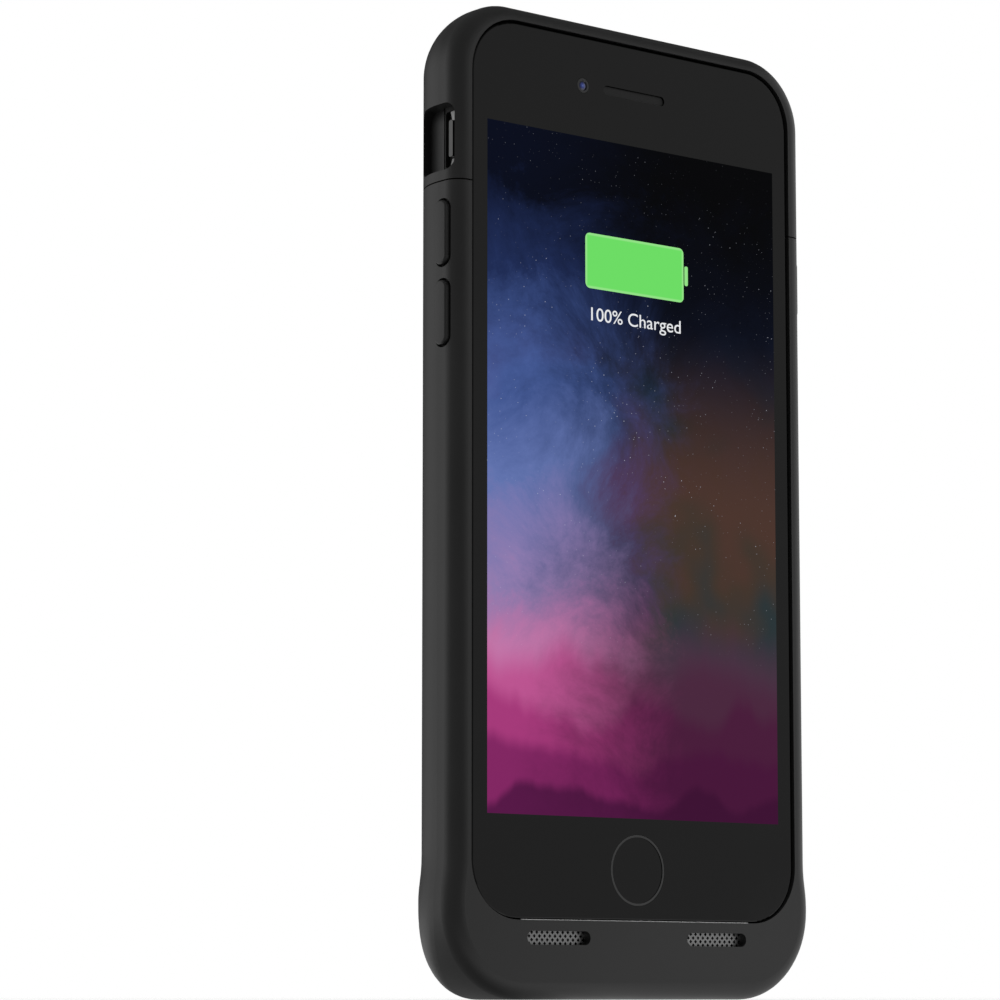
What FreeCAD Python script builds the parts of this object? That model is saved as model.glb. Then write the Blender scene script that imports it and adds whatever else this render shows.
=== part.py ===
import FreeCAD, Part
import math
import os
import re

import Sketcher

# Battery case for a phone, standing upright: a lower housing with a chin, a top cap that slides off
# upwards, pressed covers over the phone's keys, and the phone that the case holds.
# +Z is up the length, -Y is the front (the screen), +X is the right-hand side seen from the front.
# The origin is the middle of the foot. All lengths are in millimetres.

Vec = FreeCAD.Vector
Rule = Sketcher.Constraint
CLOSE = 0.001
EDGE_LIMIT = 0.48

DIMS = {
    # phone body
    "phone_width": 67.1, "phone_height": 138.3, "phone_depth": 7.1,
    "phone_corner": 10.0, "phone_edge": 3.4, "glass_thick": 0.9, "glass_gap": 0.3,
    "glass_foot_gap": 0.1, "glass_soft": 0.3,
    # phone front
    "display_border": 4.3, "display_rise": 17.4, "display_drop": 16.85,
    "home_width": 10.7, "home_ring": 0.35, "home_dish": 0.1, "home_rise": 9.6,
    "earpiece_length": 12.4, "earpiece_height": 1.4, "earpiece_drop": 8.8, "earpiece_sink": 0.3,
    "front_camera_width": 2.3, "front_camera_side": 10.4, "trim_gap": 0.05,
    # phone back
    "camera_side": 21.6, "camera_drop": 8.3, "camera_width": 9.2, "camera_rise": 1.0,
    "lens_width": 7.0, "lens_sink": 0.25, "flash_width": 4.0, "flash_offset": 11.3,
    "flash_depth": 0.6, "mic_width": 0.9, "mic_offset": 6.3, "mic_depth": 0.8,
    # phone keys and mute switch
    "key_width": 1.8, "key_length": 8.6, "key_depth": 1.2, "key_rise": 0.35, "key_gap": 0.12,
    "key_corner": 0.8, "volume_up_drop": 34.7, "mute_above_volume": 14.6, "mute_width": 0.9,
    "mute_length": 5.6, "mute_depth": 0.8, "mute_corner": 0.3, "mute_rise": 0.45, "mute_travel": 1.4,
    "mute_gap": 0.15, "mute_well_end": 1.5, "mute_well_corner": 0.6,
    # case layers, front to back, and walls
    "lip_rise": 0.35, "fit_gap": 0.15, "tray_thick": 1.0, "battery_thick": 3.8,
    "ferrite_thick": 0.4, "coil_thick": 0.5, "stack_gap": 0.2, "back_wall": 1.3,
    "side_wall": 1.9, "chin_height": 9.8, "top_wall": 1.35,
    # case outline and rounding
    "flare": 0.6, "flare_lift": 0.4, "flare_length": 7.0, "foot_corner": 13.8, "top_corner": 11.0,
    "front_round": 2.5, "front_round_foot": 2.5, "round_land": 0.4,
    "back_round": 10.6, "back_round_top": 10.6, "back_round_foot": 4.0,
    "lip_cover_side": 1.1, "lip_cover_foot": 1.9, "lip_cover_top": 0.9, "lip_corner": 8.8,
    "seam_margin": 2.35, "seam_gap": 0.2,
    # inner tray, battery bay and chin bay
    "tray_inset": 6.35, "tray_drop": 3.9, "tray_corner": 2.0, "tray_gap": 0.1, "tray_ledge": 1.5,
    "shelf_inset": 3.2, "shelf_thick": 1.2, "shelf_reach": 5.1, "shelf_ledge": 1.2,
    "chin_floor": 2.4, "bay_top_wall": 5.3, "bay_corner": 8.0,
    # battery, coil and magnets
    "battery_side_gap": 2.7, "battery_head_gap": 5.5, "battery_foot_gap": 2.0, "battery_corner": 2.0,
    "ferrite_border": 1.0, "ferrite_corner": 3.0, "coil_outer": 42.0, "coil_inner": 20.0,
    "magnet_length": 10.0, "magnet_width": 4.0, "magnet_thick": 0.8,
    "magnet_pitch_across": 22.0, "magnet_pitch_along": 66.0,
    # control board and what it carries
    "board_side_gap": 4.7, "board_height": 16.5, "board_foot": 4.0, "board_thick": 1.0,
    "board_lift": 2.5, "board_corner": 1.5, "boss_width": 3.0, "boss_inset": 2.5, "boss_rise": 11.0,
    "switch_width": 4.4, "switch_corner": 0.6, "lamp_length": 1.6, "lamp_width": 0.9, "lamp_thick": 0.7,
    "usb_width": 7.5, "usb_depth": 2.6, "usb_height": 5.6, "usb_wall": 0.35, "usb_sink": 0.9,
    "tongue_width": 4.4, "tongue_thick": 0.6, "tongue_sink": 1.0, "port_gap": 0.4, "port_corner": 0.8,
    "plug_width": 6.7, "plug_thick": 1.5, "plug_rise": 6.4, "plug_gap": 0.2,
    "plug_base_width": 10.0, "plug_base_depth": 2.4, "plug_base_height": 4.0, "plug_base_corner": 0.7,
    # status row on the back
    "status_side": 13.7, "status_rise": 8.8, "status_width": 5.2, "status_gap": 0.15,
    "status_flange": 0.7, "status_flange_thick": 0.6, "status_travel": 0.4,
    "lamp_start": 5.4, "lamp_pitch": 6.37, "pipe_width": 1.3, "pipe_flange": 0.5,
    "pipe_flange_thick": 0.6, "pipe_gap": 0.05, "slide_gap": 0.1,
    # speaker slots in the chin
    "slot_length": 12.2, "slot_height": 2.05, "slot_side": 15.8, "slot_drop": 0.7,
    "chin_front_wall": 1.3, "mesh_thick": 0.25, "mesh_border": 0.7, "mesh_lap": 0.3, "mesh_gap": 0.1,
    "mesh_corner": 0.3, "duct_depth": 0.8, "mesh_pitch": 1.0, "mesh_row_pitch": 0.55, "mesh_hole": 0.6,
    # pressed covers
    "cover_web": 1.0, "button_width": 2.7, "button_length": 9.7, "button_corner": 1.2, "button_rise": 0.6,
    "button_offset": 0.75, "crown_radius": 10.6, "button_gap": 0.35, "button_soft": 0.3,
    "button_travel": 0.35, "flange_border": 0.55, "flange_thick": 0.6, "flange_gap": 0.15,
    "plunger_width": 2.4, "plunger_length": 5.0, "plunger_corner": 0.9, "press_clear": 0.05,
    # top cap
    "cap_inner_wall": 1.6, "run_gap": 0.3, "leg_width": 6.0, "leg_thick": 1.6, "leg_length": 7.0,
    "leg_side": 20.0, "leg_inset": 1.2, "leg_gap": 0.2, "leg_root": 2.0,
    "bezel_width": 38.0, "bezel_height": 21.9, "bezel_side": 12.6, "bezel_drop": 10.75,
    "bezel_gap": 0.08, "bezel_rim": 1.0, "window_width": 22.6, "window_height": 12.3,
    "window_side": 15.4, "window_drop": 8.2, "window_wall": 1.4,
    "mute_window_width": 8.9, "mute_window_length": 10.2, "mute_window_corner": 1.6,
    "mute_window_offset": 1.5,
    # how far cutters reach past a face, and how far neighbouring cuts run into each other
    "overcut": 1.0, "lap": 0.1,
}

# Levels that follow from the driving dimensions.
LEVELS = {
    "half_width": "phone_width / 2 + fit_gap + side_wall",
    "foot_half": "half_width + flare",
    "case_height": "chin_height + phone_height + fit_gap + top_wall",
    "stack_depth": "tray_thick + battery_thick + ferrite_thick + coil_thick + stack_gap",
    "case_depth": "lip_rise + phone_depth + fit_gap + stack_depth + back_wall",
    "front_y": "-case_depth / 2",
    "back_y": "case_depth / 2",
    "glass_y": "front_y + lip_rise",
    "phone_mid_y": "glass_y + phone_depth / 2",
    "phone_back_y": "glass_y + phone_depth",
    "cavity_back_y": "phone_back_y + fit_gap",
    "tray_back_y": "cavity_back_y + tray_thick",
    "battery_back_y": "tray_back_y + battery_thick",
    "ferrite_back_y": "battery_back_y + ferrite_thick",
    "bay_back_y": "back_y - back_wall",
    "board_back_y": "bay_back_y - board_lift",
    "board_front_y": "board_back_y - board_thick",
    "phone_side_x": "phone_width / 2",
    "cavity_side_x": "phone_side_x + fit_gap",
    "phone_top_z": "chin_height + phone_height",
    "flare_low_z": "foot_corner + flare_lift",
    "flare_high_z": "flare_low_z + flare_length",
    "phone_mid_z": "chin_height + phone_height / 2",
    "volume_up_z": "phone_top_z - volume_up_drop",
    "button_y": "phone_mid_y - button_offset",
    "cover_pitch": "button_length + 2 * (flange_border + flange_gap) + cover_web",
    "volume_down_z": "volume_up_z - cover_pitch",
    "mute_z": "volume_up_z + mute_above_volume",
    "seam_height": "volume_up_z + (cover_pitch - cover_web) / 2 + seam_margin",
    "housing_top_z": "seam_height - seam_gap / 2",
    "cap_foot_z": "seam_height + seam_gap / 2",
    "lip_height": "phone_height - lip_cover_foot - lip_cover_top",
    "lip_mid_z": "chin_height + lip_cover_foot + lip_height / 2",
    "lip_width": "phone_width - 2 * lip_cover_side",
    "tray_width": "phone_width - 2 * tray_inset",
    "shelf_width": "tray_width - 2 * shelf_inset",
    "bay_width": "tray_width - 2 * tray_ledge",
    "tray_foot_z": "chin_height - shelf_thick",
    "tray_top_z": "seam_height - tray_drop",
    "bay_top_z": "seam_height - bay_top_wall",
    "shelf_front_y": "cavity_back_y - shelf_reach",
    "board_width": "bay_width - 2 * board_side_gap",
    "boss_side": "board_width / 2 - boss_inset",
    "battery_width": "bay_width - 2 * battery_side_gap",
    "battery_foot": "board_foot + board_height + battery_foot_gap",
    "battery_height": "bay_top_z - battery_head_gap - battery_foot",
    "battery_mid_z": "battery_foot + battery_height / 2",
    "ferrite_size": "coil_outer + 2 * ferrite_border",
    "board_mid_z": "board_foot + board_height / 2",
    "usb_mid_y": "board_front_y - usb_depth / 2",
    "camera_z": "phone_top_z - camera_drop",
    "flash_x": "camera_side - flash_offset",
    "mic_x": "camera_side - mic_offset",
    "earpiece_z": "phone_top_z - earpiece_drop",
    "display_width": "phone_width - 2 * display_border",
    "display_height": "phone_height - display_rise - display_drop",
    "display_mid_z": "chin_height + display_rise + display_height / 2",
    "home_z": "chin_height + home_rise",
    "mute_rest_y": "phone_mid_y - mute_travel / 2",
    "flange_in_x": "cavity_side_x + button_travel + press_clear",
    "flange_out_x": "flange_in_x + flange_thick",
    "bezel_seat_y": "cavity_back_y + cap_inner_wall",
    "bezel_z": "phone_top_z - bezel_drop",
    "window_z": "phone_top_z - window_drop",
    "status_out_y": "bay_back_y - slide_gap",
    "status_in_y": "status_out_y - status_flange_thick",
    "mesh_front_y": "front_y + chin_front_wall",
    "plate_length": "slot_length + 2 * mesh_border",
    "plate_height": "slot_height + 2 * mesh_lap",
    "slot_rise": "chin_height - slot_drop",
}

doc = FreeCAD.newDocument("battery_case")
sheet = doc.addObject("Spreadsheet::Sheet", "Dims")
for row, (alias, size) in enumerate(DIMS.items(), 1):
    sheet.set(f"A{row}", str(size))
    sheet.setAlias(f"A{row}", alias)
doc.recompute()
levels = doc.addObject("App::VarSet", "Levels")


def full(text):
    """Expression text with each plain name pointed at its sheet cell or level."""
    def point(match):
        word = match.group(0)
        if word in DIMS:
            return "Dims." + word
        return "Levels." + word if word in LEVELS else word
    return re.sub(r"[A-Za-z_]\w*", point, text)


def bind(obj, prop, text):
    obj.setExpression(prop, full(text))


def value(text):
    """Present value of an expression, for first guesses and for edge picking."""
    return float(sheet.evalExpression(full(text)))


for level, text in LEVELS.items():
    levels.addProperty("App::PropertyFloat", level, "Levels")
    bind(levels, level, text)
doc.recompute()


# Sketch outlines, each centred on its sketch origin.

def add_rule(sketch, kind, *spots, size=None):
    """Constraint with a size bound to an expression, or without one."""
    if size is None:
        sketch.addConstraint(Rule(kind, *spots))
        return
    index = sketch.addConstraint(Rule(kind, *spots, value(size)))
    bind(sketch, f"Constraints[{index}]", size)


def line(sketch, start, end):
    sketch.addGeometry(Part.LineSegment(Vec(*start, 0), Vec(*end, 0)))


def arc(sketch, centre, radius, first, last):
    circle = Part.Circle(Vec(*centre, 0), Vec(0, 0, 1), radius)
    sketch.addGeometry(Part.ArcOfCircle(circle, math.radians(first), math.radians(last)))


def draw_disc(sketch, width):
    sketch.addGeometry(Part.Circle(Vec(0, 0, 0), Vec(0, 0, 1), value(width) / 2))
    add_rule(sketch, "Coincident", 0, 3, -1, 1)
    add_rule(sketch, "Diameter", 0, size=width)


def draw_ring(sketch, outer, inner):
    for index, width in enumerate((outer, inner)):
        sketch.addGeometry(Part.Circle(Vec(0, 0, 0), Vec(0, 0, 1), value(width) / 2))
        add_rule(sketch, "Coincident", index, 3, -1, 1)
        add_rule(sketch, "Diameter", index, size=width)


def draw_rect(sketch, width, height, corner):
    x, y, r = value(width) / 2, value(height) / 2, value(corner)
    line(sketch, (r - x, -y), (x - r, -y))
    arc(sketch, (x - r, r - y), r, -90, 0)
    line(sketch, (x, r - y), (x, y - r))
    arc(sketch, (x - r, y - r), r, 0, 90)
    line(sketch, (x - r, y), (r - x, y))
    arc(sketch, (r - x, y - r), r, 90, 180)
    line(sketch, (-x, y - r), (-x, r - y))
    arc(sketch, (r - x, r - y), r, 180, 270)
    for index in range(8):
        add_rule(sketch, "Tangent", index, 2, (index + 1) % 8, 1)
    for index in (0, 4):
        add_rule(sketch, "Horizontal", index)
    for index in (2, 6):
        add_rule(sketch, "Vertical", index)
    for index in (3, 5, 7):
        add_rule(sketch, "Equal", 1, index)
    add_rule(sketch, "Symmetric", 1, 3, 5, 3, -1, 1)
    add_rule(sketch, "DistanceX", 6, 1, 2, 1, size=width)
    add_rule(sketch, "DistanceY", 0, 1, 4, 1, size=height)
    add_rule(sketch, "Radius", 1, size=corner)


def draw_slot(sketch, width, height):
    r = value(height) / 2
    x = value(width) / 2 - r
    line(sketch, (-x, -r), (x, -r))
    arc(sketch, (x, 0), r, -90, 90)
    line(sketch, (x, r), (-x, r))
    arc(sketch, (-x, 0), r, 90, 270)
    for index in range(4):
        add_rule(sketch, "Tangent", index, 2, (index + 1) % 4, 1)
    add_rule(sketch, "Horizontal", 0)
    add_rule(sketch, "Equal", 1, 3)
    add_rule(sketch, "Symmetric", 1, 3, 3, 3, -1, 1)
    add_rule(sketch, "DistanceX", 3, 3, 1, 3, size=f"{width} - ({height})")
    add_rule(sketch, "Radius", 1, size=f"({height}) / 2")


def draw_diamonds(sketch, rows, pitch, row_step, width):
    """One staggered column of diamond holes, alternate rows shifted by half a pitch."""
    for row in range(rows):
        x = f"({(row % 2) / 2 - 0.25} * {pitch})"
        y = f"({row - (rows - 1) / 2} * {row_step})"
        corners = [(f"{x} + {width} / 2", y), (x, f"{y} + {width} / 2"),
                   (f"{x} - {width} / 2", y), (x, f"{y} - {width} / 2")]
        first = 4 * row
        for index, spot in enumerate(corners):
            follow = corners[(index + 1) % 4]
            line(sketch, [value(text) for text in spot], [value(text) for text in follow])
        for index, (across, up) in enumerate(corners):
            add_rule(sketch, "Coincident", first + index, 2, first + (index + 1) % 4, 1)
            add_rule(sketch, "DistanceX", -1, 1, first + index, 1, size=across)
            add_rule(sketch, "DistanceY", -1, 1, first + index, 1, size=up)


def draw_case_outline(sketch):
    """Front outline of the case: rounded corners, and a foot that flares out by an S curve."""
    half, foot, height = value("half_width"), value("foot_half"), value("case_height")
    low, high = value("flare_low_z"), value("flare_high_z")
    r_foot, r_top = value("foot_corner"), value("top_corner")
    rise, step = high - low, foot - half
    r_flare = (rise * rise + step * step) / (4 * step)
    turn = math.degrees(math.asin(rise / 2 / r_flare))
    line(sketch, (r_foot - foot, 0), (foot - r_foot, 0))
    arc(sketch, (foot - r_foot, r_foot), r_foot, -90, 0)
    line(sketch, (foot, r_foot), (foot, low))
    arc(sketch, (foot - r_flare, low), r_flare, 0, turn)
    arc(sketch, (half + r_flare, high), r_flare, 180, 180 + turn)
    line(sketch, (half, high), (half, height - r_top))
    arc(sketch, (half - r_top, height - r_top), r_top, 0, 90)
    line(sketch, (half - r_top, height), (r_top - half, height))
    arc(sketch, (r_top - half, height - r_top), r_top, 90, 180)
    line(sketch, (-half, height - r_top), (-half, high))
    arc(sketch, (-half - r_flare, high), r_flare, -turn, 0)
    arc(sketch, (r_flare - foot, low), r_flare, 180 - turn, 180)
    line(sketch, (-foot, low), (-foot, r_foot))
    arc(sketch, (r_foot - foot, r_foot), r_foot, 180, 270)
    joints = [(0, 2, 1, 1), (1, 2, 2, 1), (2, 2, 3, 1), (3, 2, 4, 2), (4, 1, 5, 1), (5, 2, 6, 1),
              (6, 2, 7, 1), (7, 2, 8, 1), (8, 2, 9, 1), (9, 2, 10, 2), (10, 1, 11, 1),
              (11, 2, 12, 1), (12, 2, 13, 1), (13, 2, 0, 1)]
    for joint in joints:
        add_rule(sketch, "Tangent", *joint)
    add_rule(sketch, "Symmetric", 0, 1, 0, 2, -2)
    add_rule(sketch, "Symmetric", 7, 2, 7, 1, -2)
    for index in (2, 5, 9, 12):
        add_rule(sketch, "Vertical", index)
    for pair in ((1, 13), (6, 8), (3, 4), (10, 11)):
        add_rule(sketch, "Equal", *pair)
    add_rule(sketch, "PointOnObject", 0, 1, -1)
    add_rule(sketch, "Radius", 1, size="foot_corner")
    add_rule(sketch, "Radius", 6, size="top_corner")
    add_rule(sketch, "DistanceX", 12, 1, 2, 1, size="2 * foot_half")
    add_rule(sketch, "DistanceX", 9, 1, 5, 1, size="2 * half_width")
    add_rule(sketch, "DistanceY", -1, 1, 7, 1, size="case_height")
    for index, spot, size in ((2, 2, "flare_low_z"), (12, 1, "flare_low_z"),
                              (5, 1, "flare_high_z"), (9, 2, "flare_high_z")):
        add_rule(sketch, "DistanceY", -1, 1, index, spot, size=size)


OUTLINES = {"disc": draw_disc, "ring": draw_ring, "rect": draw_rect, "slot": draw_slot,
            "diamonds": draw_diamonds, "case": draw_case_outline}


# Solids.

def new_body(name, at=("0", "0", "0"), turn=0):
    """Body placed at a bound point, and turned about +Z where it faces the other way."""
    body = doc.addObject("PartDesign::Body", name)
    body.Label = name
    body.Placement.Rotation = FreeCAD.Rotation(Vec(0, 0, 1), turn)
    for axis, text in zip("xyz", at):
        bind(body, f"Placement.Base.{axis}", text)
    return body


def add_sketch(body, plane, outline, start):
    """Sketch on one of the body's own planes, moved along its axis to start."""
    kind, *sizes = outline
    sketch = body.newObject("Sketcher::SketchObject", body.Name + "_sketch")
    role = plane + "_Plane"
    origin = next(item for item in body.Origin.OriginFeatures if item.Role == role)
    sketch.AttachmentSupport = [(origin, "")]
    sketch.MapMode = "FlatFace"
    sign = "-" if plane == "XZ" else ""
    bind(sketch, "AttachmentOffset.Base.z", f"{sign}({start})")
    OUTLINES[kind](sketch, *sizes)
    return sketch


def add_pad(body, plane, outline, start, end):
    """Pad from start to end along the axis that stands on the plane."""
    pad = body.newObject("PartDesign::Pad", body.Name + "_pad")
    pad.Profile = add_sketch(body, plane, outline, start)
    pad.Reversed = plane == "XZ"
    bind(pad, "Length", f"({end}) - ({start})")
    return pad


def add_pocket(body, plane, outline, start, depth):
    pocket = body.newObject("PartDesign::Pocket", body.Name + "_pocket")
    pocket.Profile = add_sketch(body, plane, outline, start)
    bind(pocket, "Length", depth)
    return pocket


def prism(name, plane, outline, start, end, at=("0", "0", "0"), turn=0):
    body = new_body(name, at, turn)
    add_pad(body, plane, outline, start, end)
    return body


def round_edges(body, radius, pick):
    """Round the edges of the body's last feature that pick accepts."""
    doc.recompute()
    base = body.Tip
    names = [f"Edge{index}" for index, edge in enumerate(base.Shape.Edges, 1) if pick(edge)]
    fillet = body.newObject("PartDesign::Fillet", body.Name + "_fillet")
    fillet.Base = (base, names)
    bind(fillet, "Radius", radius)
    return fillet


def box(name, x, y, z):
    """Box between pairs of bounds along X, Y and Z."""
    block = doc.addObject("Part::Box", name)
    block.Label = name
    for side, axis, (low, high) in zip(("Length", "Width", "Height"), "xyz", (x, y, z)):
        bind(block, side, f"({high}) - ({low})")
        bind(block, f"Placement.Base.{axis}", low)
    return block


def fuse(name, *items):
    joined = doc.addObject("Part::MultiFuse", name)
    joined.Label = name
    joined.Shapes = list(items)
    return joined


def cut(name, base, *tools):
    result = doc.addObject("Part::Cut", name)
    result.Label = name
    result.Base = base
    result.Tool = tools[0] if len(tools) == 1 else fuse(name + "_tools", *tools)
    return result


def common(name, base, tool):
    result = doc.addObject("Part::Common", name)
    result.Label = name
    result.Base = base
    result.Tool = tool
    return result


def group(name, items):
    """Several equal loose solids kept as one sub-part."""
    result = doc.addObject("Part::Compound", name)
    result.Label = name
    result.Links = list(items)
    return result


def sides(half):
    return (f"-({half})", half)


# The case's outer form: the front outline through the depth, with rounding that runs from a large
# radius at the back of the sides to a small one at the foot, so that the case stands.

def runs_anticlockwise(edge):
    """Whether an edge of the outline runs anticlockwise, seen from the front."""
    start, end = edge.firstVertex().Point, edge.lastVertex().Point
    middle = value("case_height") / 2
    return start.x * (end.z - middle) > end.x * (start.z - middle)


def round_loop(name, base, level, side, top, foot):
    """Round one whole loop of the outline, with each edge's two radii in the first edge's sense."""
    doc.recompute()
    y, height = value(level), value("case_height")

    def radius_at(vertex):
        if vertex.Z < CLOSE:
            return foot
        return top if vertex.Z > height - CLOSE else side

    loop = [(index, edge) for index, edge in enumerate(base.Shape.Edges, 1)
            if all(abs(vertex.Y - y) < CLOSE for vertex in edge.Vertexes)]
    sense = runs_anticlockwise(loop[0][1])
    rounding = []
    for index, edge in loop:
        radii = [radius_at(edge.firstVertex()), radius_at(edge.lastVertex())]
        if runs_anticlockwise(edge) != sense:
            radii.reverse()
        rounding.append((index, *radii))
    rounded = doc.addObject("Part::Fillet", name)
    rounded.Base = base
    rounded.Edges = rounding
    return rounded


def make_outer_form():
    block = prism("outer_block", "XZ", ("case",), "front_y", "back_y")
    front = value("front_round")
    soft_front = round_loop("outer_front", block, "front_y", front, front, value("front_round_foot"))
    room = value("case_depth - round_land") - front
    side, top, foot = (min(value(size), room)
                       for size in ("back_round", "back_round_top", "back_round_foot"))
    return round_loop("outer_form", soft_front, "back_y", side, top, foot)


def pillow(name, gap):
    """The phone's rounded form, larger by a gap all round."""
    outline = ("rect", f"phone_width + 2 * {gap}", f"phone_height + 2 * {gap}", f"phone_corner + {gap}")
    body = prism(name, "XZ", outline, f"glass_y - {gap}", f"phone_back_y + {gap}",
                 ("0", "0", "phone_mid_z"))
    round_edges(body, f"min(phone_edge; {EDGE_LIMIT} * phone_depth) + {gap}",
                lambda edge: edge.BoundBox.YLength < CLOSE)
    return body


outer_form = make_outer_form()
phone_form = pillow("phone_form", "0")
cavity = pillow("cavity", "fit_gap")
lip_opening = prism("lip_opening", "XZ",
                    ("rect", "lip_width", "lip_height", "lip_corner"),
                    "front_y - overcut", "phone_mid_y", ("0", "0", "lip_mid_z"))
REACH = sides("foot_half + overcut")
DEPTH = ("front_y - overcut", "back_y + overcut")


# Pressed covers in the side walls, and the phone's keys under them.

BUTTONS = {"volume_up": (180, "volume_up_z"), "volume_down": (180, "volume_down_z"),
           "side": (0, "volume_up_z")}


def crown_face(name, blank, turn, z):
    """Cover with its outer face crowned across the case and its edges softened."""
    sign = "-" if turn else ""
    axis = f"{sign}(half_width + button_rise - crown_radius)"
    crown = prism(name + "_crown", "XY", ("disc", "2 * crown_radius"),
                  "-cover_pitch / 2", "cover_pitch / 2", (axis, "button_y", z), 180 - turn)
    crowned = common(name + "_crowned", blank, crown)
    doc.recompute()
    x, y, radius, soft = (value(size) for size in (axis, "button_y", "crown_radius", "button_soft"))

    def on_crown(edge):
        return all(abs(math.hypot(spot.x - x, spot.y - y) - radius) < CLOSE for spot in edge.discretize(5))

    rounded = doc.addObject("Part::Fillet", name)
    rounded.Label = name
    rounded.Base = crowned
    rounded.Edges = [(index, soft, soft) for index, edge in enumerate(crowned.Shape.Edges, 1)
                     if on_crown(edge)]
    return rounded


def make_cover(name, turn, z):
    """Raised pad with a retaining flange inside the wall and a plunger on the phone's key."""
    body = new_body(name + "_blank", ("0", "button_y", z), turn)
    add_pad(body, "YZ", ("rect", "button_width", "button_length", "button_corner"),
            "flange_in_x", "half_width + button_rise")
    add_pad(body, "YZ", ("rect", "button_width + 2 * flange_border",
                         "button_length + 2 * flange_border", "button_corner + flange_border"),
            "flange_in_x", "flange_out_x")
    add_pad(body, "YZ", ("rect", "plunger_width", "plunger_length", "plunger_corner"),
            "phone_side_x + key_rise", "flange_in_x")
    return crown_face(name, body, turn, z)


def cover_hole(name, turn, z):
    body = new_body(name, ("0", "button_y", z), turn)
    add_pad(body, "YZ", ("rect", "button_width + 2 * button_gap", "button_length + 2 * button_gap",
                         "button_corner + button_gap"),
            "phone_side_x - overcut", "half_width + overcut")
    room = "2 * (flange_border + flange_gap)"
    add_pad(body, "YZ", ("rect", f"button_width + {room}", f"button_length + {room}",
                         "button_corner + flange_border + flange_gap"),
            "phone_side_x - overcut", "flange_out_x + slide_gap")
    return body


def make_key(name, turn, z):
    return prism(name, "YZ", ("rect", "key_width", "key_length", "key_corner"),
                 "phone_side_x - key_depth", "phone_side_x + key_rise", ("0", "phone_mid_y", z), turn)


def key_slot(name, turn, z):
    outline = ("rect", "key_width + 2 * key_gap", "key_length + 2 * key_gap",
               "key_corner + key_gap")
    return prism(name, "YZ", outline, "phone_side_x - key_depth - button_travel - key_gap",
                 "phone_side_x + overcut", ("0", "phone_mid_y", z), turn)


covers = [make_cover(f"{name}_button", *spot) for name, spot in BUTTONS.items()]
cover_holes = [cover_hole(f"{name}_hole", *spot) for name, spot in BUTTONS.items()]
keys = [make_key(f"{name}_key", *spot) for name, spot in BUTTONS.items()]
key_slots = [key_slot(f"{name}_key_slot", *spot) for name, spot in BUTTONS.items()]


# Status row on the back: one button and four lamps, seen through light pipes.

LAMP_SPOTS = [f"lamp_start - {index} * lamp_pitch" for index in range(4)]


def make_status_button():
    body = new_body("status_button", ("status_side", "0", "status_rise"))
    add_pad(body, "XZ", ("disc", "status_width"), "status_in_y", "back_y")
    add_pad(body, "XZ", ("disc", "status_width + 2 * status_flange"), "status_in_y", "status_out_y")
    return body


def make_light_pipe(index, x):
    body = new_body(f"light_pipe_{index}", (x, "0", "status_rise"))
    add_pad(body, "XZ", ("disc", "pipe_width"), "board_back_y + lamp_thick + slide_gap", "back_y")
    add_pad(body, "XZ", ("disc", "pipe_width + 2 * pipe_flange"),
            "bay_back_y - pipe_flange_thick", "bay_back_y")
    return body


def make_lamp(index, x):
    return box(f"led_lamp_{index}", (f"{x} - lamp_length / 2", f"{x} + lamp_length / 2"),
               ("board_back_y", "board_back_y + lamp_thick"),
               ("status_rise - lamp_width / 2", "status_rise + lamp_width / 2"))


status_button = make_status_button()
status_hole = prism("status_hole", "XZ", ("disc", "status_width + 2 * status_gap"),
                    "bay_back_y - overcut", "back_y + overcut", ("status_side", "0", "status_rise"))
status_switch = prism("status_switch", "XZ", ("rect", "switch_width", "switch_width", "switch_corner"),
                      "board_back_y", "status_in_y - status_travel - press_clear",
                      ("status_side", "0", "status_rise"))
light_pipes = group("light_pipes", [make_light_pipe(*spot) for spot in enumerate(LAMP_SPOTS)])
led_lamps = group("led_lamps", [make_lamp(*spot) for spot in enumerate(LAMP_SPOTS)])
pipe_holes = [prism(f"pipe_hole_{index}", "XZ", ("disc", "pipe_width + 2 * pipe_gap"),
                    "bay_back_y - overcut", "back_y + overcut", (x, "0", "status_rise"))
              for index, x in enumerate(LAMP_SPOTS)]


# Speaker slots in the chin, with a perforated plate behind each.

MESH_ROWS = 4


def make_mesh(name, x):
    body = new_body(name, (x, "0", "slot_rise"))
    add_pad(body, "XZ", ("rect", "plate_length", "plate_height", "mesh_corner"),
            "mesh_front_y", "mesh_front_y + mesh_thick")
    holes = add_pocket(body, "XZ", ("diamonds", MESH_ROWS, "mesh_pitch", "mesh_row_pitch", "mesh_hole"),
                       "mesh_front_y", "mesh_thick")
    doc.recompute()
    count = int(value("slot_length") / value("mesh_pitch"))
    pattern = body.newObject("PartDesign::LinearPattern", name + "_pattern")
    pattern.Originals = [holes]
    axis = next(item for item in body.Origin.OriginFeatures if item.Role == "X_Axis")
    pattern.Direction = (axis, [""])
    pattern.Occurrences = count
    bind(pattern, "Length", f"{count - 1} * mesh_pitch")
    body.Tip = pattern
    bind(holes.Profile[0], "AttachmentOffset.Base.x", f"-{count - 1} * mesh_pitch / 2")
    return body


def speaker_cuts(name, x):
    slot = prism(name + "_slot", "XZ", ("slot", "slot_length", "slot_height"),
                 "front_y - overcut", "mesh_front_y + lap", (x, "0", "slot_rise"))
    duct = prism(name + "_duct", "XZ",
                 ("rect", "plate_length + 2 * mesh_gap", "plate_height + 2 * mesh_gap", "mesh_corner"),
                 "mesh_front_y", "mesh_front_y + duct_depth", (x, "0", "slot_rise"))
    return [slot, duct]


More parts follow.
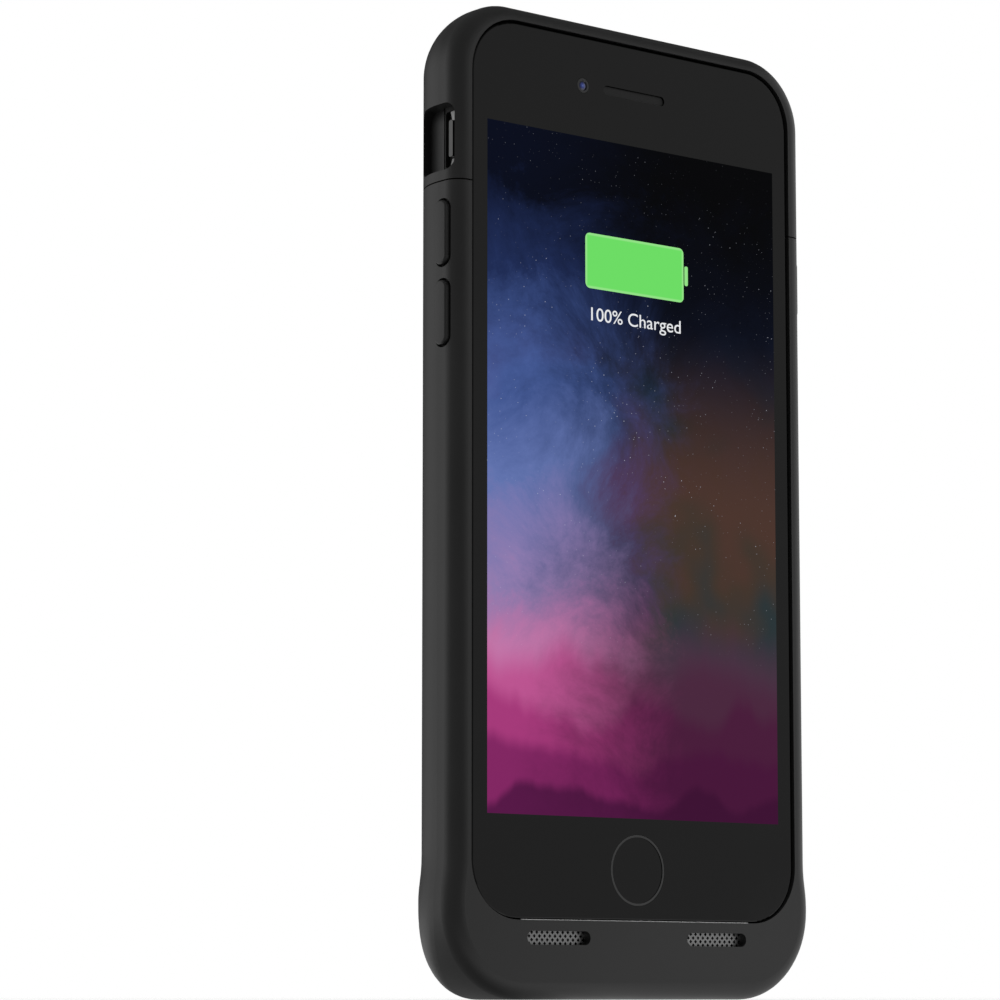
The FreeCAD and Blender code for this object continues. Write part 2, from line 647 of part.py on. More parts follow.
speaker_mesh_left = make_mesh("speaker_mesh_left", "-slot_side")
speaker_mesh_right = make_mesh("speaker_mesh_right", "slot_side")
speaker_holes = speaker_cuts("speaker_left", "-slot_side") + speaker_cuts("speaker_right", "slot_side")


# Lower housing: shell with the chin, a bay behind the phone and the lips round the screen.

def leg_box(name, side, gap, z):
    low = f"{side} * leg_side - leg_width / 2 - {gap}"
    high = f"{side} * leg_side + leg_width / 2 + {gap}"
    depth = (f"tray_back_y + leg_inset - {gap}", f"tray_back_y + leg_inset + leg_thick + {gap}")
    return box(name, (low, high), depth, z)


def make_boss(side):
    return prism(f"board_boss_{'right' if side > 0 else 'left'}", "XZ", ("disc", "boss_width"),
                 "board_back_y", "bay_back_y + back_wall / 2",
                 (f"{side} * boss_side", "0", "board_foot + boss_rise"))


def make_lower_housing():
    lower = common("housing_block", outer_form,
                   box("below_seam", REACH, DEPTH, ("-overcut", "housing_top_z")))
    tray_half = "tray_width / 2 + tray_gap"
    rebate = box("tray_rebate", sides(tray_half), ("phone_mid_y", "tray_back_y"),
                 ("tray_foot_z - tray_gap", "tray_top_z + tray_gap"))
    bay = prism("battery_bay", "XZ",
                ("rect", "bay_width", "bay_top_z - chin_floor", "bay_corner"),
                "tray_back_y - overcut", "bay_back_y", ("0", "0", "(bay_top_z + chin_floor) / 2"))
    chin_bay = box("chin_bay", sides("shelf_width / 2 - shelf_ledge"), ("shelf_front_y", "tray_back_y"),
                   ("chin_floor", "tray_foot_z + lap"))
    shelf_seat = box("shelf_seat", sides("shelf_width / 2 + tray_gap"),
                     ("shelf_front_y - tray_gap", "tray_back_y"), ("tray_foot_z", "chin_height + overcut"))
    port = prism("port_hole", "XY",
                 ("rect", "usb_width + 2 * port_gap", "usb_depth + 2 * port_gap", "port_corner"),
                 "-overcut", "chin_floor + overcut", ("0", "usb_mid_y", "0"))
    leg_room = ("seam_height - leg_length - leg_gap", "housing_top_z + overcut")
    leg_slots = [leg_box(f"leg_slot_{index}", side, "leg_gap", leg_room)
                 for index, side in enumerate((-1, 1))]
    shell = cut("housing_shell", lower, cavity, lip_opening, rebate, bay, chin_bay, shelf_seat, port,
                status_hole, *pipe_holes, *speaker_holes, *cover_holes, *leg_slots)
    return fuse("lower_housing", shell, make_boss(-1), make_boss(1))


lower_housing = make_lower_housing()


# Inner tray: back panel and the shelf that the phone stands on, with the plug through it.

plug_slot = prism("plug_slot", "XY", ("slot", "plug_width + 2 * plug_gap", "plug_thick + 2 * plug_gap"),
                  "tray_foot_z - overcut", "chin_height + overcut", ("0", "phone_mid_y", "0"))
tray_panel = prism("tray_panel", "XZ",
                   ("rect", "tray_width", "tray_top_z - tray_foot_z", "tray_corner"),
                   "cavity_back_y", "tray_back_y", ("0", "0", "(tray_top_z + tray_foot_z) / 2"))
tray_shelf = box("tray_shelf", sides("shelf_width / 2"), ("shelf_front_y", "tray_back_y"),
                 ("tray_foot_z", "chin_height"))
phone_tray = cut("phone_tray", fuse("tray_blank", tray_panel, tray_shelf), plug_slot)


# Battery, coil and magnets behind the tray.

MIDDLE = ("0", "0", "battery_mid_z")


def make_magnet(index, across, up):
    x = f"{across} * magnet_pitch_across / 2"
    z = f"battery_mid_z + {up} * magnet_pitch_along / 2"
    return box(f"magnet_{index}", (f"{x} - magnet_length / 2", f"{x} + magnet_length / 2"),
               ("battery_back_y", "battery_back_y + magnet_thick"),
               (f"{z} - magnet_width / 2", f"{z} + magnet_width / 2"))


battery_cell = prism("battery_cell", "XZ", ("rect", "battery_width", "battery_height", "battery_corner"),
                     "tray_back_y", "battery_back_y", MIDDLE)
ferrite_sheet = prism("ferrite_sheet", "XZ", ("rect", "ferrite_size", "ferrite_size", "ferrite_corner"),
                      "battery_back_y", "ferrite_back_y", MIDDLE)
charging_coil = prism("charging_coil", "XZ", ("ring", "coil_outer", "coil_inner"),
                      "ferrite_back_y", "ferrite_back_y + coil_thick", MIDDLE)
MAGNET_SPOTS = [(-1, -1), (1, -1), (-1, 1), (1, 1)]
alignment_magnets = group("alignment_magnets",
                          [make_magnet(index, *spot) for index, spot in enumerate(MAGNET_SPOTS)])


# Control board, charging socket and the plug for the phone.

control_board = prism("control_board", "XZ", ("rect", "board_width", "board_height", "board_corner"),
                      "board_front_y", "board_back_y", ("0", "0", "board_mid_z"))


def make_usb_socket():
    half, depth = "usb_width / 2", ("board_front_y - usb_depth", "board_front_y")
    top = "usb_sink + usb_height"
    shell = box("usb_shell", sides(half), depth, ("usb_sink", top))
    room = box("usb_room", sides(f"{half} - usb_wall"),
               (f"{depth[0]} + usb_wall", f"{depth[1]} - usb_wall"),
               ("usb_sink - overcut", f"{top} - usb_wall"))
    tongue = box("usb_tongue", sides("tongue_width / 2"),
                 ("usb_mid_y - tongue_thick / 2", "usb_mid_y + tongue_thick / 2"),
                 ("usb_sink + tongue_sink", f"{top} - usb_wall / 2"))
    return fuse("usb_socket", cut("usb_case", shell, room), tongue)


def make_phone_plug():
    body = new_body("phone_plug", ("0", "phone_mid_y", "0"))
    add_pad(body, "XY", ("rect", "plug_base_width", "plug_base_depth", "plug_base_corner"),
            "tray_foot_z - plug_base_height", "tray_foot_z")
    add_pad(body, "XY", ("slot", "plug_width", "plug_thick"), "tray_foot_z", "chin_height + plug_rise")
    return body


usb_socket = make_usb_socket()
phone_plug = make_phone_plug()


# Top cap: slides up off the phone on two legs, with a window for the mute switch and a sculpted
# bezel round the camera. Channels inside let the camera ring and the switch pass.

def bezel_prism(name, gap):
    outline = ("slot", f"bezel_width + 2 * {gap}", f"bezel_height + 2 * {gap}")
    return prism(name, "XZ", outline, "bezel_seat_y", "back_y + overcut", ("bezel_side", "0", "bezel_z"))


def window_prism(name, gap, end):
    outline = ("slot", f"window_width + 2 * {gap}", f"window_height + 2 * {gap}")
    return prism(name, "XZ", outline, "phone_mid_y", end, ("window_side", "0", "window_z"))


def make_funnel():
    """Loft from the camera window out to the bezel's rim."""
    body = new_body("bezel_funnel")
    floor = add_sketch(body, "XZ", ("slot", "window_width", "window_height"), "bezel_seat_y + window_wall")
    bind(floor, "AttachmentOffset.Base.x", "window_side")
    bind(floor, "AttachmentOffset.Base.y", "window_z")
    rim = add_sketch(body, "XZ", ("slot", "bezel_width - 2 * bezel_rim", "bezel_height - 2 * bezel_rim"),
                     "back_y + lap")
    bind(rim, "AttachmentOffset.Base.x", "bezel_side")
    bind(rim, "AttachmentOffset.Base.y", "bezel_z")
    loft = body.newObject("PartDesign::AdditiveLoft", "bezel_loft")
    loft.Profile = floor
    loft.Sections = [rim]
    loft.Ruled = True
    return body


def make_top_cap():
    upper = common("cap_block", outer_form,
                   box("above_seam", REACH, DEPTH, ("cap_foot_z", "case_height + overcut")))
    ring = "camera_width / 2 + run_gap"
    ring_channel = box("ring_channel", (f"camera_side - ({ring})", f"camera_side + {ring}"),
                       ("phone_mid_y", "phone_back_y + camera_rise + run_gap"),
                       ("seam_height - overcut", "camera_z"))
    lever = "mute_width / 2 + mute_travel / 2 + run_gap"
    lever_channel = box("lever_channel",
                        ("-(phone_side_x + mute_rise + run_gap)", "-(phone_side_x - overcut)"),
                        (f"phone_mid_y - ({lever})", f"phone_mid_y + {lever}"),
                        ("seam_height - overcut", "mute_z"))
    mute_window = prism("mute_window", "YZ",
                        ("rect", "mute_window_width", "mute_window_length", "mute_window_corner"),
                        "phone_side_x - overcut", "half_width + overcut",
                        ("0", "phone_mid_y + mute_window_offset", "mute_z"), 180)
    shell = cut("cap_shell", upper, cavity, lip_opening, bezel_prism("bezel_pocket", "bezel_gap"),
                window_prism("cap_window", "bezel_gap", "bezel_seat_y + lap"),
                ring_channel, lever_channel, mute_window)
    legs = [leg_box(f"cap_leg_{index}", side, "0", ("seam_height - leg_length", "cap_foot_z + leg_root"))
            for index, side in enumerate((-1, 1))]
    return fuse("top_cap", shell, *legs)


top_cap = make_top_cap()
camera_bezel = cut("camera_bezel", common("bezel_blank", outer_form, bezel_prism("bezel_form", "0")),
                   make_funnel(), window_prism("bezel_window", "0", "bezel_seat_y + window_wall + lap"))


# The phone: housing, front glass with its trim, camera and flash at the back.

def front_disc(name, width, x, z, deep="glass_thick"):
    return prism(name, "XZ", ("disc", width), "glass_y", f"glass_y + {deep}", (x, "0", z))


def glass_prism(name, front):
    """Flat pane that clears the lips by a gap, smaller at the foot."""
    outline = ("rect", "lip_width - 2 * glass_gap", "lip_height - glass_gap - glass_foot_gap",
               "lip_corner - glass_gap")
    return prism(name, "XZ", outline, front, "glass_y + glass_thick",
                 ("0", "0", "lip_mid_z - (glass_gap - glass_foot_gap) / 2"))


def make_phone_glass():
    pane = glass_prism("glass_pane", "glass_y")
    front = value("glass_y")
    round_edges(pane, "glass_soft", lambda edge: edge.BoundBox.YMax < front + CLOSE)
    display_hole = box("display_hole", sides("display_width / 2"), ("front_y - overcut", "phone_mid_y"),
                       ("display_mid_z - display_height / 2", "display_mid_z + display_height / 2"))
    home_hole = front_disc("home_hole", "home_width + 2 * trim_gap", "0", "home_z", "glass_thick + overcut")
    lens_hole = front_disc("front_camera_hole", "front_camera_width + 2 * trim_gap", "-front_camera_side",
                           "earpiece_z", "glass_thick + overcut")
    ear_hole = prism("earpiece_hole", "XZ",
                     ("slot", "earpiece_length + 2 * trim_gap", "earpiece_height + 2 * trim_gap"),
                     "front_y - overcut", "phone_mid_y", ("0", "0", "earpiece_z"))
    return cut("phone_glass", pane, display_hole, home_hole, lens_hole, ear_hole)


def make_home_button():
    body = new_body("phone_home_button", ("0", "0", "home_z"))
    add_pad(body, "XZ", ("disc", "home_width"), "glass_y", "glass_y + glass_thick")
    add_pocket(body, "XZ", ("disc", "home_width - 2 * home_ring"), "glass_y", "home_dish")
    return body


def make_phone_housing():
    glass_room = glass_prism("glass_room", "front_y - overcut")
    socket = prism("phone_socket", "XY",
                   ("slot", "plug_width + 2 * plug_gap", "plug_thick + 2 * plug_gap"),
                   "chin_height - overcut", "chin_height + plug_rise + plug_gap", ("0", "phone_mid_y", "0"))
    mute_slot = prism("mute_slot", "YZ",
                      ("rect", "mute_width + mute_travel + 2 * mute_gap", "mute_length + 2 * mute_well_end",
                       "mute_well_corner"),
                      "phone_side_x - mute_depth - mute_gap", "phone_side_x + overcut",
                      ("0", "phone_mid_y", "mute_z"), 180)
    flash_well = prism("flash_well", "XZ", ("disc", "flash_width + 2 * trim_gap"),
                       "phone_back_y - flash_depth", "phone_back_y + overcut", ("flash_x", "0", "camera_z"))
    mic_well = prism("mic_well", "XZ", ("disc", "mic_width"), "phone_back_y - mic_depth",
                     "phone_back_y + overcut", ("mic_x", "0", "camera_z"))
    return cut("phone_housing", phone_form, glass_room, socket, mute_slot, flash_well, mic_well, *key_slots)


phone_housing = make_phone_housing()
phone_glass = make_phone_glass()
phone_home_button = make_home_button()
phone_display = box("phone_display", sides("display_width / 2"), ("glass_y", "glass_y + glass_thick"),
                    ("display_mid_z - display_height / 2", "display_mid_z + display_height / 2"))
phone_earpiece = prism("phone_earpiece", "XZ", ("slot", "earpiece_length", "earpiece_height"),
                       "glass_y + earpiece_sink", "glass_y + glass_thick", ("0", "0", "earpiece_z"))
phone_front_camera = front_disc("phone_front_camera", "front_camera_width", "-front_camera_side",
                                "earpiece_z")
CAMERA = ("camera_side", "0", "camera_z")
phone_camera_ring = prism("phone_camera_ring", "XZ", ("ring", "camera_width", "lens_width + 2 * trim_gap"),
                          "phone_back_y", "phone_back_y + camera_rise", CAMERA)
phone_camera_lens = prism("phone_camera_lens", "XZ", ("disc", "lens_width"),
                          "phone_back_y", "phone_back_y + camera_rise - lens_sink", CAMERA)
phone_flash = prism("phone_flash", "XZ", ("disc", "flash_width"),
                    "phone_back_y - flash_depth", "phone_back_y", ("flash_x", "0", "camera_z"))


def make_mute_switch():
    return prism("mute_switch", "YZ", ("rect", "mute_width", "mute_length", "mute_corner"),
                 "phone_side_x - mute_depth", "phone_side_x + mute_rise",
                 ("0", "mute_rest_y", "mute_z"), 180)


mute_switch = make_mute_switch()

SUB_PARTS = [
    lower_housing, phone_tray, battery_cell, ferrite_sheet, charging_coil, alignment_magnets,
    control_board, usb_socket, phone_plug, status_switch, led_lamps, light_pipes,
    speaker_mesh_left, speaker_mesh_right, top_cap, camera_bezel, *covers, *keys, status_button,
    phone_housing, phone_glass, phone_display, phone_home_button, phone_earpiece,
    phone_front_camera, phone_camera_ring, phone_camera_lens, phone_flash, mute_switch,
]


def check_document():
    doc.recompute()
    failed = [item.Name for item in doc.Objects if {"Invalid", "Error"} & set(item.State)]
    if failed:
        raise RuntimeError("failed objects: " + ", ".join(failed))
    for item in SUB_PARTS:
        if item.Shape.isNull() or not item.Shape.isValid() or not item.Shape.Solids:
            raise RuntimeError("bad shape: " + item.Label)


check_document()
os.makedirs("parts", exist_ok=True)
for item in SUB_PARTS:
    item.Shape.exportStep(f"parts/{item.Label}.step")
    print(item.Label, len(item.Shape.Solids), round(item.Shape.Volume, 2))
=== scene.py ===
"""Finishes, screen, lenses and studio for a battery phone case with a phone in it.

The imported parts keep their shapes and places. This script gives every part its finish, adds the
small pieces that lie on them, and sets the floor, the lamps and the camera. Lengths are in metres.
"""

import math

import bmesh
import bpy
from mathutils import Matrix, Vector


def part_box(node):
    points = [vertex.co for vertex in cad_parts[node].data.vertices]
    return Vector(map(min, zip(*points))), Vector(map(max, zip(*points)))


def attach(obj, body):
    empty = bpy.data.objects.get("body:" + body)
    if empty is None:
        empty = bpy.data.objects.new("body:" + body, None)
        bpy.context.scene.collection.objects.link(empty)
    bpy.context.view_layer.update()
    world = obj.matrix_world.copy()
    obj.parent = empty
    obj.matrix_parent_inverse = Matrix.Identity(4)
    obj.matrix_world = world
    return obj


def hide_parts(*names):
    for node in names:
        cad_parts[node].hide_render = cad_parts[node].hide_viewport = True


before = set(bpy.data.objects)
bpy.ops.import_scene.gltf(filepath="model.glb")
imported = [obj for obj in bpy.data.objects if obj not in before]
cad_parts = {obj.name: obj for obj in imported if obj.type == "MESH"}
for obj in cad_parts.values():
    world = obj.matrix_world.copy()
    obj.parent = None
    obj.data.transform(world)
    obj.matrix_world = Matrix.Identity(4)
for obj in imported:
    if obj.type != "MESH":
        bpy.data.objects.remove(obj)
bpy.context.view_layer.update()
scene = bpy.context.scene

MM = 0.001
FULL_TURN = 2 * math.pi
CASE = "case"


def tone(red, green=None, blue=None):
    """Linear colour from display levels of 0 to 255. One level alone is a grey."""
    levels = (red, red if green is None else green, red if blue is None else blue)
    steps = [level / 255 for level in levels]
    return tuple(s / 12.92 if s <= 0.04045 else ((s + 0.055) / 1.055) ** 2.4 for s in steps) + (1.0,)


# Node helpers

def put(tree, kind, values=None, links=None, **options):
    """Adds a node with its options, its input values and what feeds its inputs."""
    node = tree.nodes.new(kind)
    for option, setting in options.items():
        setattr(node, option, setting)
    for socket, setting in (values or {}).items():
        node.inputs[socket].default_value = setting
    for socket, source in (links or {}).items():
        tree.links.new(source, node.inputs[socket])
    return node


def calc(tree, operation, *terms):
    """Math node on numbers and sockets."""
    node = put(tree, "ShaderNodeMath", operation=operation)
    for socket, term in zip(node.inputs, terms):
        if isinstance(term, (int, float)):
            socket.default_value = term
        else:
            tree.links.new(term, socket)
    return node.outputs[0]


def blend_colours(tree, share, first, second, how="MIX"):
    """Mix node for colours. The share and both colours may be sockets or plain values."""
    node = put(tree, "ShaderNodeMix", data_type="RGBA", blend_type=how)
    for socket, term in zip((node.inputs[0], node.inputs[6], node.inputs[7]), (share, first, second)):
        if isinstance(term, bpy.types.NodeSocket):
            tree.links.new(term, socket)
        else:
            socket.default_value = term
    return node.outputs[2]


def spread(tree, source, low, high, to_low, to_high, smooth=False):
    """Map Range node, clamped."""
    kind = "SMOOTHSTEP" if smooth else "LINEAR"
    node = put(tree, "ShaderNodeMapRange", links={"Value": source}, interpolation_type=kind)
    for socket, term in zip(("From Min", "From Max", "To Min", "To Max"), (low, high, to_low, to_high)):
        if isinstance(term, bpy.types.NodeSocket):
            tree.links.new(term, node.inputs[socket])
        else:
            node.inputs[socket].default_value = term
    return node.outputs["Result"]


def ramp(tree, source, *stops):
    """Colour ramp over (place, colour) stops."""
    node = put(tree, "ShaderNodeValToRGB", links={"Fac": source})
    elements = node.color_ramp.elements
    while len(elements) < len(stops):
        elements.new(1.0)
    for element, (place, colour) in zip(elements, stops):
        element.position = place
        element.color = colour
    return node.outputs["Color"]


def object_place(tree):
    return put(tree, "ShaderNodeTexCoord").outputs["Object"]


def new_group(name, inputs, outputs):
    """Empty shader group with number inputs, named outputs and its two end nodes."""
    tree = bpy.data.node_groups.new(name, "ShaderNodeTree")
    for label, kind in inputs:
        tree.interface.new_socket(label, in_out="INPUT", socket_type=kind)
    for label, kind in outputs:
        tree.interface.new_socket(label, in_out="OUTPUT", socket_type=kind)
    return tree, tree.nodes.new("NodeGroupInput"), tree.nodes.new("NodeGroupOutput")


FLOAT, VECTOR = "NodeSocketFloat", "NodeSocketVector"


def make_grain():
    """Moulded grain: a fine height and a slow patchiness, both from 0 to 1."""
    tree, start, end = new_group("moulded_grain", [("Place", VECTOR), ("Grains", FLOAT)],
                                 [("Height", FLOAT), ("Patch", FLOAT)])
    place, grains = start.outputs[:2]
    fine = put(tree, "ShaderNodeTexNoise", {"Detail": 3.0, "Roughness": 0.6},
               {"Vector": place, "Scale": grains})
    cells = put(tree, "ShaderNodeTexVoronoi", {}, {"Vector": place, "Scale": grains})
    height = calc(tree, "ADD", fine.outputs[0], calc(tree, "MULTIPLY", cells.outputs["Distance"], 0.6))
    patch = put(tree, "ShaderNodeTexNoise", {"Scale": 55.0, "Detail": 4.0}, {"Vector": place})
    tree.links.new(height, end.inputs["Height"])
    tree.links.new(patch.outputs[0], end.inputs["Patch"])
    return tree


def make_smudges():
    """Faint hand marks on glass: a mask from 0 to 1."""
    tree, start, end = new_group("hand_marks", [("Place", VECTOR), ("Marks", FLOAT)], [("Mask", FLOAT)])
    place, marks = start.outputs[:2]
    broad = put(tree, "ShaderNodeTexNoise", {"Detail": 2.0, "Distortion": 0.8},
                {"Vector": place, "Scale": marks})
    fine = put(tree, "ShaderNodeTexNoise", {"Scale": 900.0, "Detail": 2.0}, {"Vector": place})
    smear = spread(tree, broad.outputs[0], 0.48, 0.72, 0.0, 1.0, True)
    tree.links.new(calc(tree, "MULTIPLY", smear, fine.outputs[0]), end.inputs["Mask"])
    return tree


def make_rings():
    """Rings round an axis along Y: the radius in metres and a wave from 0 to 1 of the given pitch."""
    tree, start, end = new_group("turned_rings", [("Place", VECTOR), ("Centre", VECTOR), ("Pitch", FLOAT)],
                                 [("Radius", FLOAT), ("Wave", FLOAT)])
    offset = put(tree, "ShaderNodeVectorMath", operation="SUBTRACT")
    tree.links.new(start.outputs["Place"], offset.inputs[0])
    tree.links.new(start.outputs["Centre"], offset.inputs[1])
    flat = put(tree, "ShaderNodeVectorMath", {1: (1.0, 0.0, 1.0)}, {0: offset.outputs[0]},
               operation="MULTIPLY")
    length = put(tree, "ShaderNodeVectorMath", links={0: flat.outputs[0]}, operation="LENGTH")
    radius = length.outputs["Value"]
    turn = calc(tree, "MULTIPLY", calc(tree, "DIVIDE", radius, start.outputs["Pitch"]), FULL_TURN)
    wave = calc(tree, "MULTIPLY_ADD", calc(tree, "SINE", turn), 0.5, 0.5)
    tree.links.new(radius, end.inputs["Radius"])
    tree.links.new(wave, end.inputs["Wave"])
    return tree


def make_ridge():
    """Soft ridge line across the screen: the mask is 1 below the line."""
    inputs = ["Across", "Up", "Level", "Swing", "Waves", "Offset", "Blur"]
    tree, start, end = new_group("ridge_line", [(label, FLOAT) for label in inputs], [("Mask", FLOAT)])
    across, up, level, swing, waves, offset, blur = start.outputs[:7]
    along = calc(tree, "MULTIPLY_ADD", across, waves, offset)
    wave = put(tree, "ShaderNodeTexNoise", {"Scale": 1.0, "Detail": 4.0, "Roughness": 0.45}, {"W": along},
               noise_dimensions="1D")
    line = calc(tree, "MULTIPLY_ADD", calc(tree, "SUBTRACT", wave.outputs[0], 0.5), swing, level)
    mask = spread(tree, up, line, calc(tree, "SUBTRACT", line, blur), 0.0, 1.0, True)
    tree.links.new(mask, end.inputs["Mask"])
    return tree


GRAIN = make_grain()
SMUDGES = make_smudges()
RINGS = make_rings()
RIDGE = make_ridge()


def use_group(tree, group, values=None, links=None):
    return put(tree, "ShaderNodeGroup", values, links, node_tree=group)


def new_finish(name, roughness=0.5, specular=0.5, metallic=0.0):
    """Material with its even values set, and its tree, shader and object coordinates."""
    material = bpy.data.materials.new(name)
    material.use_nodes = True
    tree = material.node_tree
    shader = tree.nodes["Principled BSDF"]
    shader.inputs["Roughness"].default_value = roughness
    shader.inputs["Specular IOR Level"].default_value = specular
    shader.inputs["Metallic"].default_value = metallic
    return material, tree, shader, object_place(tree)


def feed(tree, shader, socket, source):
    tree.links.new(source, shader.inputs[socket])


def add_bump(tree, shader, height, deep, strength=1.0):
    """Surface relief of the given depth in metres."""
    bump = put(tree, "ShaderNodeBump", {"Strength": strength, "Distance": deep}, {"Height": height})
    feed(tree, shader, "Normal", bump.outputs["Normal"])


# Finishes of the case

def moulded(name, dark, light, smooth, rough, grains, relief, specular):
    """Moulded plastic: two near tones in patches, a roughness that follows them, and a fine grain."""
    material, tree, shader, place = new_finish(name, specular=specular)
    grain = use_group(tree, GRAIN, {"Grains": grains}, {"Place": place})
    patch = spread(tree, grain.outputs["Patch"], 0.35, 0.65, 0.0, 1.0)
    feed(tree, shader, "Base Color", blend_colours(tree, patch, tone(dark), tone(light)))
    feed(tree, shader, "Roughness", spread(tree, grain.outputs["Patch"], 0.3, 0.7, smooth, rough))
    add_bump(tree, shader, grain.outputs["Height"], relief)
    return material


def soft_touch():
    return moulded("soft_touch_black", 27, 31, 0.40, 0.48, 5200.0, 0.006 * MM, 0.50)


def satin_bezel():
    return moulded("satin_bezel_black", 17, 20, 0.34, 0.42, 7000.0, 0.005 * MM, 0.30)


def rubber_cover():
    return moulded("rubber_cover_black", 26, 30, 0.40, 0.48, 6200.0, 0.006 * MM, 0.50)


def tray_plastic():
    return moulded("tray_black", 30, 38, 0.55, 0.68, 3600.0, 0.020 * MM, 0.40)


def cell_wrap():
    """Foil pouch of the cell, with shallow crinkles."""
    material, tree, shader, place = new_finish("cell_foil", metallic=0.85)
    crinkle = put(tree, "ShaderNodeTexNoise", {"Scale": 260.0, "Detail": 5.0, "Distortion": 0.5},
                  {"Vector": place})
    feed(tree, shader, "Base Color", blend_colours(tree, crinkle.outputs[0], tone(120), tone(176)))
    feed(tree, shader, "Roughness", spread(tree, crinkle.outputs[0], 0.3, 0.7, 0.28, 0.45))
    add_bump(tree, shader, crinkle.outputs[0], 0.05 * MM)
    return material


def ferrite():
    """Pressed ferrite sheet, grey with darker specks."""
    material, tree, shader, place = new_finish("ferrite_grey")
    specks = put(tree, "ShaderNodeTexVoronoi", {"Scale": 2400.0}, {"Vector": place})
    feed(tree, shader, "Base Color", blend_colours(tree, specks.outputs["Distance"], tone(46), tone(72)))
    feed(tree, shader, "Roughness", spread(tree, specks.outputs["Distance"], 0.0, 1.0, 0.5, 0.8))
    add_bump(tree, shader, specks.outputs["Distance"], 0.01 * MM)
    return material


def box_middle(node):
    low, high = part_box(node)
    return (low + high) / 2


def rings_round(tree, place, node, pitch):
    """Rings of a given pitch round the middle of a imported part."""
    return use_group(tree, RINGS, {"Centre": box_middle(node), "Pitch": pitch}, {"Place": place}).outputs


def coil_copper():
    """Lacquered copper turns round the coil's axis."""
    material, tree, shader, place = new_finish("coil_copper", metallic=1.0)
    wave = rings_round(tree, place, "charging_coil", 0.55 * MM)["Wave"]
    feed(tree, shader, "Base Color", blend_colours(tree, wave, tone(96, 44, 20), tone(214, 128, 78)))
    feed(tree, shader, "Roughness", spread(tree, wave, 0.0, 1.0, 0.5, 0.25))
    add_bump(tree, shader, wave, 0.12 * MM)
    return material


def bright_metal(name, dark, light, smooth, rough, stretch, metallic=1.0):
    """Metal with a lengthways brushing."""
    material, tree, shader, place = new_finish(name, metallic=metallic)
    along = put(tree, "ShaderNodeMapping", {"Scale": stretch}, {"Vector": place})
    lines = put(tree, "ShaderNodeTexNoise", {"Scale": 1.0, "Detail": 3.0}, {"Vector": along.outputs[0]})
    feed(tree, shader, "Base Color", blend_colours(tree, lines.outputs[0], tone(dark), tone(light)))
    feed(tree, shader, "Roughness", spread(tree, lines.outputs[0], 0.3, 0.7, smooth, rough))
    add_bump(tree, shader, lines.outputs[0], 0.004 * MM)
    return material


def magnet_plate():
    return bright_metal("magnet_nickel", 176, 210, 0.16, 0.28, (900.0, 900.0, 240.0))


def socket_steel():
    return bright_metal("socket_steel", 150, 196, 0.22, 0.36, (4000.0, 4000.0, 400.0))


def switch_steel():
    return bright_metal("switch_steel", 140, 182, 0.25, 0.40, (1200.0, 1200.0, 1200.0))


def mesh_metal():
    return bright_metal("speaker_mesh_grey", 116, 160, 0.30, 0.44, (5200.0, 5200.0, 900.0))


def ring_metal():
    return bright_metal("camera_ring_dark", 58, 84, 0.22, 0.34, (2600.0, 500.0, 2600.0))


def board_mask():
    """Solder mask with buried tracks."""
    material, tree, shader, place = new_finish("board_green", roughness=0.35)
    tracks = put(tree, "ShaderNodeTexBrick",
                 {"Scale": 420.0, "Mortar Size": 0.05, "Color1": tone(14, 58, 38), "Color2": tone(18, 66, 44),
                  "Mortar": tone(40, 104, 66)})
    flat = put(tree, "ShaderNodeMapping", {"Rotation": (math.pi / 2, 0.0, 0.0)}, {"Vector": place})
    tree.links.new(flat.outputs[0], tracks.inputs["Vector"])
    feed(tree, shader, "Base Color", tracks.outputs["Color"])
    add_bump(tree, shader, tracks.outputs["Fac"], 0.02 * MM)
    return material


def plug_black():
    return moulded("plug_black", 34, 40, 0.32, 0.42, 4800.0, 0.006 * MM, 0.45)


def lamp_phosphor():
    """Pale lamp body with a patchy yellow phosphor tint."""
    material, tree, shader, place = new_finish("lamp_phosphor", roughness=0.4)
    cloud = put(tree, "ShaderNodeTexNoise", {"Scale": 1500.0, "Detail": 2.0}, {"Vector": place})
    feed(tree, shader, "Base Color", blend_colours(tree, cloud.outputs[0], tone(232, 220, 150), tone(240)))
    return material


LAMP_GLOW = 0.85


def light_pipe():
    """Frosted light pipe with a lamp lit behind it, a little uneven."""
    material, tree, shader, place = new_finish("light_pipe_frost", roughness=0.35)
    frost = put(tree, "ShaderNodeTexNoise", {"Scale": 3200.0, "Detail": 2.0}, {"Vector": place})
    glow = spread(tree, frost.outputs[0], 0.3, 0.7, 0.80, 1.0)
    feed(tree, shader, "Base Color", blend_colours(tree, glow, tone(200), tone(240)))
    feed(tree, shader, "Emission Color", blend_colours(tree, glow, tone(226, 234, 240), tone(255)))
    shader.inputs["Emission Strength"].default_value = LAMP_GLOW
    return material


# Finishes of the phone

def phone_metal():
    """Bead-blasted black aluminium."""
    material, tree, shader, place = new_finish("phone_black_metal", metallic=0.3, specular=0.3)
    beads = put(tree, "ShaderNodeTexNoise", {"Scale": 9000.0, "Detail": 2.0}, {"Vector": place})
    feed(tree, shader, "Base Color", blend_colours(tree, beads.outputs[0], tone(24), tone(32)))
    feed(tree, shader, "Roughness", spread(tree, beads.outputs[0], 0.3, 0.7, 0.42, 0.52))
    add_bump(tree, shader, beads.outputs[0], 0.004 * MM)
    return material


GLASS_SPECULAR = 0.36


